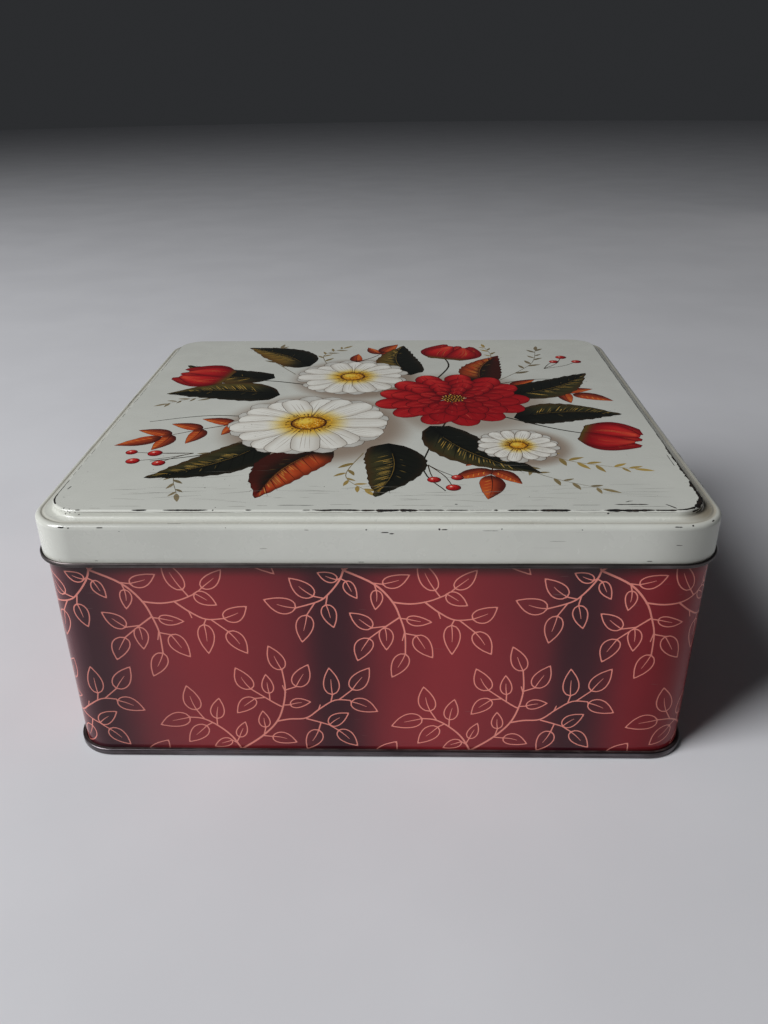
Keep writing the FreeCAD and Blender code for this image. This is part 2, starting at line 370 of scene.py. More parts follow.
def spline(points, n):
    """Smooth open path through points, n steps a span."""
    out = []
    last = len(points) - 1
    for i in range(last):
        p0 = points[max(i - 1, 0)]
        p1, p2 = points[i], points[i + 1]
        p3 = points[min(i + 2, last)]
        for k in range(n):
            t = k / n
            out.append(tuple(
                0.5 * (2 * b + (c - a) * t + (2 * a - 5 * b + 4 * c - d) * t * t
                       + (3 * b - a - 3 * c + d) * t ** 3)
                for a, b, c, d in zip(p0, p1, p2, p3)))
    out.append(points[-1])
    return out


def grown(points, amount):
    """Outline moved outwards by amount, along its own normals."""
    n = len(points)
    area = sum(points[i][0] * points[(i + 1) % n][1]
               - points[(i + 1) % n][0] * points[i][1] for i in range(n))
    sign = 1.0 if area > 0 else -1.0
    out = []
    for i in range(n):
        a, b = points[i - 1], points[(i + 1) % n]
        dx, dy = b[0] - a[0], b[1] - a[1]
        d = math.hypot(dx, dy) or 1.0
        out.append((points[i][0] + sign * dy / d * amount,
                    points[i][1] - sign * dx / d * amount))
    return out


def clip(points, axis, cut, keep_above):
    """Part of an outline on one side of a straight line along an axis."""
    out = []
    n = len(points)
    for i in range(n):
        a, b = points[i], points[(i + 1) % n]
        ina = (a[axis] >= cut) == keep_above
        inb = (b[axis] >= cut) == keep_above
        if ina:
            out.append(a)
        if ina != inb:
            t = (cut - a[axis]) / (b[axis] - a[axis])
            p = [a[0] + (b[0] - a[0]) * t, a[1] + (b[1] - a[1]) * t]
            p[axis] = cut
            out.append(tuple(p))
    return out


def kept_inside(shapes, low, high):
    """Shapes cut to a box, so that none reaches the border round it."""
    out = []
    for points, colour in shapes:
        for axis in (0, 1):
            if points and min(p[axis] for p in points) < low[axis]:
                points = clip(points, axis, low[axis], True)
            if points and max(p[axis] for p in points) > high[axis]:
                points = clip(points, axis, high[axis], False)
        if len(points) >= 3:
            out.append((points, colour))
    return out


class Blade:
    """A petal or leaf along a bent centre line."""

    def __init__(self, base, tip, width, bend=0.0, form="oval", n=13,
                 rough=0.0, seed=0, teeth=0):
        self.base, self.tip = base, tip
        dx, dy = tip[0] - base[0], tip[1] - base[1]
        self.length = math.hypot(dx, dy)
        self.d = (dx / self.length, dy / self.length)
        self.n = (-self.d[1], self.d[0])
        self.width, self.bend, self.form = width, bend * self.length, form
        rnd = random.Random(seed * 77 + 5)
        left, right = [], []
        steps = n if not teeth else teeth * 2
        for i in range(steps + 1):
            t = i / steps
            w = self.half(t)
            jl = 1 + rough * rnd.uniform(-1, 1)
            jr = 1 + rough * rnd.uniform(-1, 1)
            tl = tr = t
            if teeth and 0 < i < steps:          # low, uneven teeth
                out = 1 if i % 2 else -0.6
                jl += 0.042 * out * rnd.uniform(0.2, 1.3)
                jr += 0.042 * out * rnd.uniform(0.2, 1.3)
                tl += (0.2 * out + rnd.uniform(-.3, .3)) / steps
                tr += (0.2 * out + rnd.uniform(-.3, .3)) / steps
            left.append(self.at(tl, w * jl / (width / 2)))
            right.append(self.at(tr, -w * jr / (width / 2)))
        self.outline = left + right[::-1][1:-1] if form in ("lance", "oval",
                                                            "leaf", "ovate") \
            else left + right[::-1]
        clean = [self.outline[0]]
        for p in self.outline[1:]:
            if math.hypot(p[0] - clean[-1][0], p[1] - clean[-1][1]) > 0.03:
                clean.append(p)
        if math.hypot(clean[0][0] - clean[-1][0],
                      clean[0][1] - clean[-1][1]) < 0.03:
            clean.pop()
        self.outline = clean

    def half(self, t):
        w = self.width / 2
        if self.form == "lance":
            return w * math.sin(PI * t ** 0.82) ** 0.9
        if self.form == "oval":
            return w * math.sin(PI * t ** 0.9) ** 0.75
        if self.form == "leaf":                       # round base, drawn tip
            return w * math.sin(PI * t ** 0.72) ** 0.8 * (1.02 - 0.12 * t) \
                * lerp(1.0, 0.84, smooth(0.72, 0.95, t))
        if self.form == "ovate":                      # broad, with a drawn tip
            return w * math.sin(PI * t ** 0.7) ** 0.78 * (1.04 - 0.14 * t) \
                * lerp(1.0, 0.72, smooth(0.78, 0.97, t))
        if self.form == "petal":                      # widest near the tip
            return w * (0.22 * (1 - t) + math.sin(PI * (0.08 + 0.86 * t) ** 1.35) ** 0.7
                        * (0.95 if t < 0.97 else 0.8)) * (1.0 if t < 1 else 0.45)
        if self.form == "ray":                        # narrow ray petal
            k = 0.42 + 0.58 * smooth(0.0, 0.55, t)
            if t > 0.82:
                k *= math.sqrt(max(0.0, 1 - ((t - 0.82) / 0.19) ** 2))
            return w * max(k, 0.12)
        if self.form == "cup":                        # broad tulip petal
            return w * (0.35 * (1 - t) + math.sin(PI * (0.12 + 0.84 * t)) ** 0.8)
        return w

    def at(self, t, v):
        """Point at t along and v across (-1..1 of half the full width)."""
        b = self.bend * math.sin(PI * clamp(t, 0, 1)) \
            if self.form != "ray" else self.bend * t * t
        off = v * self.width / 2 + b
        return (self.base[0] + self.d[0] * self.length * t + self.n[0] * off,
                self.base[1] + self.d[1] * self.length * t + self.n[1] * off)

    def local(self, x, y):
        """t along and v across of a point."""
        px, py = x - self.base[0], y - self.base[1]
        t = (px * self.d[0] + py * self.d[1]) / self.length
        b = self.bend * math.sin(PI * clamp(t, 0, 1)) \
            if self.form != "ray" else self.bend * t * t
        v = (px * self.n[0] + py * self.n[1] - b) / max(self.half(clamp(t, .02, .98)), 0.05)
        return t, v


# ------------------------------------------------------------ the lid's picture
CREAM = (214, 215, 206)
picture = Print()
halos = []      # soft painted shadows round the flowers: x, y, radius, amount


def broad_leaf(base, tip, width, bend=0.0, seed=0, side=1, autumn=0.0,
               dark=(23, 25, 19), lit=(58, 55, 31), gold=(208, 162, 66)):
    """A broad leaf: one half dark, the other brushed with gold."""
    rnd = random.Random(seed + 900)
    b = Blade(base, tip, width, bend, "ovate", 24, 0.012, seed, 11)
    veins = 7.0
    night = tuple(k * 0.55 for k in dark)
    warm, ember = (186, 66, 30), (112, 28, 20)

    def fill(x, y):
        t, v = b.local(x, y)
        h = v * side
        c = mix(dark, lit, smooth(-0.1, 0.7, h) * smooth(0.0, 0.4, t))
        if autumn:
            c = mix(c, warm, autumn * smooth(-0.15, 0.35, h) * smooth(0.02, 0.3, t))
            c = mix(c, ember, autumn * (1 - smooth(-0.7, 0.1, h)) * 0.55
                    + autumn * smooth(0.72, 1.0, t) * 0.6)
        c = mix(c, night, smooth(0.26, 0.0, t) * 0.9)
        rib = 0.5 + 0.5 * math.cos(2 * PI * veins * (t - 0.2 * abs(v)))
        c = mix(c, tuple(min(k * 1.6 + 10, 255) for k in c),
                0.35 * rib * smooth(1.0, 0.35, abs(v)) * smooth(-0.3, 0.3, h))
        c = mix(c, night, smooth(0.10, 0.0, abs(v)) * 0.8)
        return mix(c, (84, 50, 26) if not autumn else (60, 20, 14),
                   smooth(0.70, 1.0, abs(v)) * (0.5 if h > 0 else 0.25))

    picture.add(grown(b.outline, 0.16), (18, 16, 13))
    picture.add(b.outline, fill)
    for k in range(int(veins)):
        t = 0.10 + 0.74 * (k + 0.5) / veins
        room = b.half(t + 0.05) / (b.width / 2)
        for sg in (side, -side):
            picture.stroke([b.at(t + 0.15 * f, sg * room * 0.86 * f)
                            for f in (0.0, 0.3, 0.65, 1.0)], 0.42, 0.3, 0.08,
                           colour=night if not autumn else (54, 20, 14))
    bright = mix(gold, (240, 130, 48), 0.75 * autumn)
    for k in range(int(veins)):
        t = 0.12 + 0.72 * (k + 0.5) / veins
        strength = math.sin(PI * clamp((k + 0.8) / (veins + 0.4))) ** 0.6
        for n in range(5):
            sg = side if n < 4 else -side
            near = rnd.uniform(0.07, 0.2)
            far = rnd.uniform(0.3, 0.72) * (1.0 if sg == side else 0.6)
            if rnd.random() > strength * (0.95 if sg == side else 0.6):
                continue
            at = t + 0.02 + (n % 4) * 0.021 + rnd.uniform(-.004, .004)
            room = b.half(clamp(at + 0.06)) / (b.width / 2)
            c = mix(bright, (246, 214, 128), rnd.random() * 0.45)
            c = mix(c, dark, rnd.uniform(0.0, 0.45) if sg == side
                    else rnd.uniform(0.4, 0.7))
            picture.stroke([b.at(at + 0.14 * lerp(near, far, f),
                                 sg * room * lerp(near, far, f))
                            for f in (0.0, 0.35, 0.7, 1.0)], 0.1,
                           rnd.uniform(0.28, 0.62), 0.08, colour=c)
    picture.stroke([b.at(k / 10, 0.0) for k in range(0, 10)], 0.75, 0.5, 0.14,
                   colour=night if not autumn else (44, 18, 12))
    picture.stroke([b.at(k / 10, 0.045 * side) for k in range(2, 9)], 0.1, 0.24,
                   0.08, colour=mix(bright, dark, 0.35))
    return b


def stem(points, w0=0.9, w1=0.6, colour=(42, 38, 28)):
    picture.stroke(spline(points, 6), w0, (w0 + w1) / 2, w1, colour=colour)


def wisp(points, count, size, colour, seed=0, stem_colour=None):
    """A thin stalk with slender leaflets."""
    rnd = random.Random(seed + 300)
    path = spline(points, 8)
    picture.stroke(path, 0.45, 0.35, 0.2,
                   colour=stem_colour or mix(colour, (70, 62, 48), 0.5))
    for k in range(count):
        f = 0.25 + 0.75 * (k + 0.5) / count
        i = min(int(f * (len(path) - 1)), len(path) - 2)
        p, q = path[i], path[i + 1]
        a = math.atan2(q[1] - p[1], q[0] - p[0])
        sg = 1 if k % 2 else -1
        a2 = a + sg * rnd.uniform(0.5, 0.95)
        ln = size * rnd.uniform(0.75, 1.15) * (1.1 - 0.35 * f)
        tip = (p[0] + ln * math.cos(a2), p[1] + ln * math.sin(a2))
        b = Blade(p, tip, ln * 0.3, rnd.uniform(-.06, .06), "lance", 7)
        c = mix(colour, (96, 86, 62), rnd.random() * 0.55)
        picture.add(b.outline, c)
    i = len(path) - 1
    a = math.atan2(path[i][1] - path[i - 1][1], path[i][0] - path[i - 1][0])
    tip = (path[i][0] + size * math.cos(a), path[i][1] + size * math.sin(a))
    picture.add(Blade(path[i], tip, size * 0.28, 0, "lance", 7).outline, colour)


def feather(points, pairs, size, seed=0, warm=(188, 74, 36), dark=(86, 30, 24)):
    """An autumn spray: a stalk with paired leaflets and one at its end."""
    rnd = random.Random(seed + 40)
    path = spline(points, 10)
    picture.stroke(path, 0.9, 0.7, 0.4, colour=(70, 34, 22))
    n = len(path) - 1

    def leaflet(p, a, ln, sg):
        tip = (p[0] + ln * math.cos(a), p[1] + ln * math.sin(a))
        b = Blade(p, tip, ln * 0.46, 0.05 * sg, "leaf", 14, 0.03,
                  rnd.randrange(999))

        def fill(x, y):
            t, v = b.local(x, y)
            c = mix(warm, dark, smooth(-0.25, 0.9, v * sg))
            c = mix(c, (56, 20, 18), smooth(0.3, 0.0, t) * 0.8)
            return mix(c, (216, 112, 48), smooth(0.35, 0.75, t)
                       * smooth(0.2, -0.7, v * sg) * 0.55)

        picture.add(grown(b.outline, 0.16), (48, 20, 16))
        picture.add(b.outline, fill)
        picture.stroke([b.at(k / 8, 0) for k in range(0, 8)], 0.4, 0.3, 0.1,
                       colour=(54, 20, 16))
        for k in range(5):
            t = 0.2 + 0.13 * k
            room = b.half(t) / (b.width / 2)
            picture.stroke([b.at(t, -sg * room * 0.1),
                            b.at(t + .06, -sg * room * 0.45),
                            b.at(t + .1, -sg * room * rnd.uniform(.6, .8))],
                           0.1, rnd.uniform(0.3, 0.55), 0.08,
                           colour=mix((240, 164, 70), warm,
                                      rnd.uniform(0, .5)))

    for k in range(pairs):
        f = 0.32 + 0.55 * k / max(pairs - 1, 1)
        i = int(f * n)
        p, q = path[i], path[i + 1]
        a = math.atan2(q[1] - p[1], q[0] - p[0])
        for sg in (1, -1):
            leaflet(p, a + sg * rnd.uniform(0.75, 0.95),
                    size * rnd.uniform(0.85, 1.1), sg)
    p, q = path[-2], path[-1]
    leaflet(q, math.atan2(q[1] - p[1], q[0] - p[0]), size * 1.25, 1)


def berries(spots, root, seed=0):
    rnd = random.Random(seed + 60)
    for x, y, r in spots:
        mid = ((x + root[0]) / 2 + rnd.uniform(-2, 2),
               (y + root[1]) / 2 + rnd.uniform(-2, 2))
        stem([root, mid, (x, y)], 0.55, 0.4, (60, 46, 30))
    for x, y, r in spots:
        def fill(px, py, x=x, y=y, r=r):
            d = math.hypot(px - x + r * .35, py - y - r * .35) / r
            c = mix((232, 92, 74), (186, 26, 30), smooth(0.1, 0.7, d))
            return mix(c, (82, 8, 16), smooth(0.8, 1.45, d))
        picture.disc(x, y, r + 0.2, (58, 10, 14), 18)
        picture.disc(x, y, r, fill, 18)
        picture.disc(x - r * .3, y + r * .35, r * .18, (250, 214, 198), 8)
        picture.disc(x + r * .1, y - r * .1, r * .12, (40, 8, 10), 6)


def daisy(cx, cy, radius, seed=0, count=17):
    rnd = random.Random(seed + 1)
    halos.append((cx, cy, radius, 1.0))
    inner = radius * 0.2
    white, shade = (243, 241, 231), (206, 199, 186)

    def ray(a, ln, back):
        base = (cx + inner * 0.7 * math.cos(a), cy + inner * 0.7 * math.sin(a))
        tip = (cx + ln * math.cos(a), cy + ln * math.sin(a))
        b = Blade(base, tip, radius * rnd.uniform(0.29, 0.34),
                  rnd.uniform(-0.05, 0.05), "ray", 16, 0.02, rnd.randrange(999))
        dimmer = 0.86 if back else 1.0
        lit = math.cos(a - 2.3)          # light falls from the upper left

        def fill(x, y):
            t, v = b.local(x, y)
            c = mix(white, shade, smooth(0.45, 1.0, abs(v)) * 0.75)
            c = mix(c, shade, smooth(0.2, -1.0, lit) * 0.35
                    * smooth(-0.4, 0.9, v))
            gold = mix((226, 168, 38), (240, 206, 92), smooth(0.05, 0.35, t))
            c = mix(gold, c, smooth(0.12, 0.5, t))
            c = mix((120, 74, 26), c, smooth(-0.05, 0.16, t))
            if back:
                c = mix((126, 106, 92), c, smooth(0.35, 0.8, t))
            return tuple(k * dimmer for k in c)

        picture.add(grown(b.outline, 0.26), (98, 82, 70) if not back
                    else (84, 70, 60))
        picture.add(b.outline, fill)
        for v in (-0.45, -0.05, 0.4):
            t0, t1 = rnd.uniform(0.24, 0.36), rnd.uniform(0.72, 0.93)
            path = [b.at(lerp(t0, t1, f), v * lerp(0.75, 1.0, f) * 0.8)
                    for f in (0, .25, .5, .75, 1)]
            picture.stroke(path, 0.1, rnd.uniform(0.22, 0.4), 0.08,
                           colour=mix((196, 188, 174), (160, 146, 130),
                                      rnd.random() * (1.0 if back else 0.5)))
        for k in range(7 if back else 5):
            v = rnd.uniform(-0.75, 0.75)
            t0 = rnd.uniform(0.08, 0.16)
            picture.stroke([b.at(t0, v * .6), b.at(t0 + .08, v * .66),
                            b.at(t0 + rnd.uniform(.14, .3), v * .72)],
                           0.3, 0.2, 0.05,
                           colour=mix((110, 62, 22), (150, 100, 40),
                                      rnd.random()))

    for k in range(count):
        ray(2 * PI * (k + 0.5) / count + rnd.uniform(-.06, .06),
            radius * rnd.uniform(0.93, 1.0), True)
    order = list(range(count))
    rnd.shuffle(order)
    for k in order:
        ray(2 * PI * k / count + rnd.uniform(-.07, .07),
            radius * rnd.uniform(0.84, 0.97), False)

    def eye(x, y):
        d = math.hypot(x - cx, y - cy) / inner
        off = math.hypot(x - cx + inner * .3, y - cy - inner * .3) / inner
        c = mix((250, 214, 84), (224, 152, 28), smooth(0.1, 0.9, off))
        return mix(c, (96, 46, 12), smooth(0.72, 1.12, d))

    picture.disc(cx, cy, inner * 1.1, (62, 30, 12), 30)
    picture.disc(cx, cy, inner, eye, 30)
    for k in range(70):
        a = k * 2.39996
        r = inner * 0.96 * math.sqrt((k + 0.5) / 70)
        x, y = cx + r * math.cos(a), cy + r * math.sin(a)
        deep = smooth(0.3, 1.0, r / inner)
        picture.disc(x, y, radius * 0.0105,
                     mix((255, 232, 140), (250, 186, 50), rnd.random())
                     if rnd.random() > 0.25 + 0.3 * deep
                     else (84, 38, 12), 6)
    for k in range(26):
        a = 2 * PI * k / 26 + rnd.uniform(-.08, .08)
        r0, r1 = inner * 1.02, inner * rnd.uniform(1.22, 1.5)
        p = (cx + r0 * math.cos(a), cy + r0 * math.sin(a))
        q = (cx + r1 * math.cos(a), cy + r1 * math.sin(a))
        picture.stroke([p, q], 0.22, 0.2, 0.16, colour=(70, 34, 14))
        picture.disc(q[0], q[1], radius * 0.014, (58, 26, 12)
                     if rnd.random() < 0.6 else (236, 178, 52), 7)


def dahlia(cx, cy, radius, seed=0):
    rnd = random.Random(seed + 2)
    halos.append((cx, cy, radius, 0.7))
    rings = ((1.00, 0.50, 13, 0.36), (0.83, 0.46, 12, 0.33),
             (0.65, 0.38, 11, 0.28), (0.47, 0.29, 9, 0.22),
             (0.31, 0.2, 7, 0.16))
    for level, (reach, span, count, wide) in enumerate(rings):
        turn = 0.5 * (level % 2) + 0.13 * level
        order = list(range(count))
        rnd.shuffle(order)
        for k in order:
            a = 2 * PI * (k + turn) / count + rnd.uniform(-.05, .05)
            r1 = radius * reach * rnd.uniform(0.95, 1.03)
            r0 = r1 - radius * span
            base = (cx + r0 * math.cos(a), cy + r0 * math.sin(a))
            tip = (cx + r1 * math.cos(a), cy + r1 * math.sin(a))
            b = Blade(base, tip, radius * wide * rnd.uniform(.92, 1.06),
                      rnd.uniform(-.05, .05), "leaf", 14, 0.015,
                      rnd.randrange(999))
            # turned about so that the broad end points outwards
            b = Blade(base, tip, b.width, b.bend / b.length, "petal", 15,
                      0.012, rnd.randrange(999))
            lit = 0.5 + 0.5 * math.cos(a - 2.2)
            inner = level / 4

            def fill(x, y, b=b, lit=lit, inner=inner):
                t, v = b.local(x, y)
                c = mix((92, 8, 17), (193, 28, 33), smooth(0.12, 0.62, t))
                c = mix(c, (222, 66, 56), smooth(0.55, 0.95, t) * lit * 0.75
                        * smooth(1.0, 0.1, abs(v + 0.2)))
                c = mix(c, (118, 10, 20), smooth(0.5, 1.05, abs(v)) * 0.75)
                c = mix(c, (150, 14, 24), (1 - lit) * 0.55)
                return mix(c, (110, 8, 18), inner * 0.25)

            picture.add(grown(b.outline, 0.24), (60, 5, 12))
            picture.add(b.outline, fill)
            picture.stroke([b.at(f, 0.02) for f in (.2, .4, .6, .8, .93)],
                           0.12, 0.4, 0.08,
                           colour=mix((104, 8, 18), (140, 14, 24),
                                      rnd.random()))
            for v in (-0.5, 0.48):
                t1 = rnd.uniform(0.7, 0.9)
                picture.stroke([b.at(lerp(.3, t1, f), v * 0.85)
                                for f in (0, .5, 1)], 0.08, 0.24, 0.06,
                               colour=mix((236, 104, 86), (150, 16, 26),
                                          rnd.random()))

    def heart(x, y):
        d = math.hypot(x - cx, y - cy) / (radius * 0.13)
        return mix((70, 26, 14), (36, 8, 10), smooth(0.2, 1, d))

    picture.disc(cx, cy, radius * 0.13, heart, 22)
    for k in range(44):
        a = k * 2.39996
        r = radius * 0.15 * math.sqrt((k + .5) / 44)
        picture.disc(cx + r * math.cos(a), cy + r * math.sin(a),
                     radius * rnd.uniform(0.009, 0.014),
                     mix((250, 206, 92), (214, 130, 44), rnd.random()), 6)


def tulip(x, y, angle, size, seed=0):
    """A closed tulip flower whose foot is at x, y."""
    rnd = random.Random(seed + 3)
    c, s = math.cos(angle - PI / 2), math.sin(angle - PI / 2)

    def to(px, py):
        return (x + (px * c - py * s) * size, y + (px * s + py * c) * size)

    def petal(bx, by, tx, ty, w, bend, deep, flame):
        b = Blade(to(bx, by), to(tx, ty), w * size, bend, "cup", 16, .01,
                  rnd.randrange(999))

        def fill(px, py):
            t, v = b.local(px, py)
            col = mix((132, 12, 22), (204, 34, 36), smooth(0.0, 0.55, t))
            col = mix(col, (234, 98, 62), smooth(0.45, 1.0, t)
                      * smooth(0.9, 0.1, abs(v)) * flame)
            col = mix(col, (104, 8, 18), smooth(0.45, 1.05, abs(v)) * 0.7)
            col = mix((92, 84, 34), col, smooth(-0.02, 0.22, t))
            return mix(col, (96, 8, 18), deep)

        picture.add(grown(b.outline, 0.22), (62, 8, 12))
        picture.add(b.outline, fill)
        for k in range(7):
            v = rnd.uniform(-0.75, 0.75)
            t0, t1 = rnd.uniform(.12, .35), rnd.uniform(.6, .9)
            picture.stroke([b.at(lerp(t0, t1, f), v * lerp(.9, .6, f) * .8)
                            for f in (0, .5, 1)], 0.08, 0.26, 0.06,
                           colour=mix((240, 140, 80), (112, 8, 18),
                                      rnd.random()))

    petal(-0.12, 0.02, -0.30, 1.04, 0.5, 0.16, 0.45, 0.3)
    petal(0.12, 0.02, 0.30, 1.02, 0.5, -0.16, 0.5, 0.2)
    petal(0.0, 0.06, 0.02, 1.0, 0.42, 0.0, 0.35, 0.5)
    petal(-0.17, 0.0, -0.14, 0.95, 0.5, 0.12, 0.0, 0.9)
    petal(0.17, 0.0, 0.14, 0.9, 0.48, -0.12, 0.1, 0.7)


# -- layout: leaves and stems first, flowers over them
stem([(-22, 22), (-52, 34), (-84, 40)], 1.1, 0.8)
stem([(24, 30), (34, 58), (32, 76)], 1.1, 0.8)
stem([(44, -8), (74, -30), (90, -38)], 1.1, 0.8)
stem([(-30, -30), (-64, -56), (-92, -66)], 1.0, 0.6)
stem([(30, -20), (18, -70), (26, -94)], 0.9, 0.5)
stem([(-40, -20), (-76, -14), (-104, -22)], 0.9, 0.5)
stem([(40, 20), (74, 36), (100, 34)], 0.9, 0.5)

wisp([(-46, 46), (-62, 74), (-60, 94)], 9, 8.0, (138, 124, 98), 1)
wisp([(-30, 60), (-34, 80), (-24, 93)], 8, 7.5, (150, 130, 84), 2)
wisp([(58, 34), (78, 62), (84, 88)], 9, 8.0, (134, 120, 94), 3)
wisp([(48, 44), (58, 74), (56, 94)], 8, 7.0, (172, 146, 86), 4)
wisp([(52, -44), (76, -66), (100, -74)], 10, 8.0, (186, 156, 82), 5)
wisp([(46, -50), (62, -78), (84, -92)], 9, 7.5, (150, 132, 92), 6)
wisp([(-58, -44), (-78, -74), (-74, -96)], 9, 7.5, (140, 126, 96), 7)
wisp([(-6, -58), (-12, -80), (-4, -93)], 8, 7.0, (182, 152, 80), 8)
wisp([(-66, 6), (-88, 10), (-102, 2)], 8, 7.0, (140, 126, 98), 9)

feather([(34, -34), (46, -58), (44, -80)], 3, 17, 1)
feather([(-50, -18), (-76, -30), (-94, -40)], 3, 16, 2)
feather([(50, 26), (74, 24), (92, 14)], 3, 16, 3)
feather([(-26, 58), (-8, 74), (-2, 84)], 2, 15, 4)

broad_leaf((-46, -46), (-90, -82), 25, 0.10, 11, side=-1)
broad_leaf((-22, -52), (-44, -100), 26, -0.10, 12, side=1, autumn=0.9)
broad_leaf((4, -48), (0, -99), 25, 0.10, 13, side=-1)
broad_leaf((60, -18), (109, -14), 25, 0.10, 14, side=1)
broad_leaf((58, 12), (104, 46), 24, -0.10, 15, side=-1)
broad_leaf((14, 44), (10, 98), 24, 0.10, 16, side=1, lit=(96, 78, 34))
broad_leaf((-40, 60), (-78, 95), 26, -0.10, 17, side=1, lit=(118, 90, 38))
broad_leaf((-50, 14), (-106, 16), 27, -0.10, 18, side=-1, lit=(84, 74, 36))
broad_leaf((-56, 40), (-106, 62), 22, 0.12, 19, side=1, lit=(92, 72, 34))
broad_leaf((22, -28), (64, -78), 25, -0.10, 20, side=-1)
broad_leaf((50, 30), (62, 78), 22, 0.10, 21, side=1, autumn=0.8)

tulip(-80, 42, math.radians(168), 27, 1)
tulip(33, 72, math.radians(72), 26, 2)
tulip(87, -36, math.radians(-20), 25, 3)

berries([(-92, -58, 2.9), (-99, -66, 2.7), (-88, -68, 2.6), (-102, -57, 2.3)],
        (-76, -58), 1)
berries([(96, 74, 2.8), (103, 66, 2.5), (91, 66, 2.4)], (84, 54), 2)
berries([(22, -84, 2.5), (29, -91, 2.7), (31, -82, 2.3)], (20, -70), 3)

daisy(-16, 42, 29, 1, 16)
dahlia(34, 8, 37, 1)
daisy(-32, -24, 37, 2, 17)
daisy(58, -50, 18, 3, 14)

# fine scratches and specks of the worn panel, most of them near the front
_rnd = random.Random(5)
for _k in range(54):
    _x, _y = _rnd.uniform(-100, 100), -102 + abs(_rnd.gauss(0, 9))
    _l, _a = _rnd.uniform(3, 20), _rnd.gauss(0, 0.07)
    picture.stroke([(_x, _y), (_x + _l / 2, _y + _l / 2 * math.tan(_a)
                               + _rnd.uniform(-.15, .15)),
                    (_x + _l, _y + _l * math.tan(_a))], 0.05,
                   _rnd.uniform(0.12, 0.26), 0.05,
                   colour=mix((150, 147, 136), (96, 93, 86), _rnd.random()))
picture.stroke([(90.0, -103.3), (91.2, -102.6), (92.8, -102.3)], 0.25, 0.5, 0.15,
               colour=(34, 31, 28))
for _k in range(46):
    _x, _y = _rnd.uniform(-108, 108), _rnd.uniform(-99, 99)
    picture.disc(_x, _y, _rnd.uniform(0.12, 0.32),
                 mix((120, 116, 104), (60, 56, 50), _rnd.random()), 5)


def ground(x, y):
    """The cream enamel, with the painted shadows round the flowers."""
    c = CREAM
    k = 0.0
    for hx, hy, r, amount in halos:
        d = math.hypot(x - hx - r * 0.10, y - hy + r * 0.12) / r
        k = max(k, amount * (1 - smooth(0.86, 1.28, d)) * 0.75)
    return mix(c, (138, 116, 98), k)


# ------------------------------------------------------------------ lid mesh
BAND = 12.0              # where the flat picture starts, from the skirt's face


def lid_corner(u):
    if u <= SHOULDER:
        return LR - u
    foot = RISER_U - RISER_R
    at_foot = PANEL_R - (foot - RISER_U)
    if u < foot:
        return lerp(LR - SHOULDER, at_foot, (u - SHOULDER) / (foot - SHOULDER))
    return PANEL_R - (u - RISER_U)


def lid_wave(x, y):
    """Slight unevenness of the pressed panel."""
    edge = min(LX - 8 - abs(x), LY - 8 - abs(y))
    k = smooth(0.0, 26.0, edge)
    return k * (0.16 * waves(x, y, 62, 3) + 0.05 * waves(x, y, 25, 4)) \
        - 0.10 * k


def lid_wave_normal(x, y):
    e = 1.0
    gx = (lid_wave(x + e, y) - lid_wave(x - e, y)) / (2 * e)
    gy = (lid_wave(x, y + e) - lid_wave(x, y - e)) / (2 * e)
    return (-gx, -gy, 1.0)


lid_out = Profile(BAND, PANEL)
lid_out.line(9.0, PANEL, "panel").line(RISER_U + RISER_R, PANEL, "panel", 2)
lid_out.arc(RISER_U + RISER_R, PANEL - RISER_R, RISER_R, 90, 180, 7, "edge")
lid_out.line(RISER_U, LEDGE + RISER_R, "riser", 2)
lid_out.arc(RISER_U - RISER_R, LEDGE + RISER_R, RISER_R, 0, -90, 7, "foot",
            convex=False)
lid_out.line(3.9, LEDGE, "ledge", 1)
lid_out.curve([3.6, 3.35, 3.1, 2.9, 2.7, 2.5, 2.35, 2.2, SHOULDER],
              lambda u: LEDGE - 0.2 * math.exp(-((u - 2.62) / 0.42) ** 2)
              * smooth(SHOULDER, SHOULDER + 0.2, u), "ledge")
lid_out.arc(SHOULDER, LEDGE - SHOULDER, SHOULDER, 90, 180, 9, "shoulder")
lid_out.line(0.0, SKIRT_FOOT + 0.2, "skirt", 8)
lid_out.line(0.0, SKIRT_FOOT - 0.42, "crease", 1)
hem_r = (HEM_OUT + PLATE) / 2
hem_u = PLATE - hem_r
hem_hi, hem_lo = SKIRT_FOOT - hem_r, SKIRT_FOOT - HEM_H + hem_r
lid_out.line(hem_u + 0.06, SKIRT_FOOT - 0.30, "hem")
lid_out.line(hem_u, SKIRT_FOOT, "hem")
lid_out.arc(hem_u, hem_hi, hem_r, 90, 180, 7, "hem")
lid_out.line(hem_u - hem_r, hem_lo, "hem", 1)
lid_out.arc(hem_u, hem_lo, hem_r, 180, 360, 12, "hem")
lid_out.line(PLATE, SKIRT_FOOT, "inside", 1)
lid_out.line(PLATE, LEDGE - SHOULDER, "inside", 4)
lid_out.arc(SHOULDER, LEDGE - SHOULDER, SHOULDER - PLATE, 180, 90, 6, "inside",
            convex=False)
lid_out.line(RISER_U - RISER_R, LEDGE - PLATE, "inside", 2)
lid_out.arc(RISER_U - RISER_R, LEDGE + RISER_R, RISER_R + PLATE, -90, 0, 6,
            "inside")
lid_out.line(RISER_U + PLATE, PANEL - RISER_R, "inside", 1)
lid_out.arc(RISER_U + RISER_R, PANEL - RISER_R, RISER_R - PLATE, 180, 90, 5,
            "inside", convex=False)
lid_out.line(BAND, PANEL - PLATE, "inside", 2)

stations = loop_stations(14, 52, 46)
lid = Shell()
lid_s = loop_length(stations, LX, LY, LR)
lid_total = lid_s[-1]
lengths = lid_out.lengths()
n_st, n_pr = len(stations), len(lid_out.points)

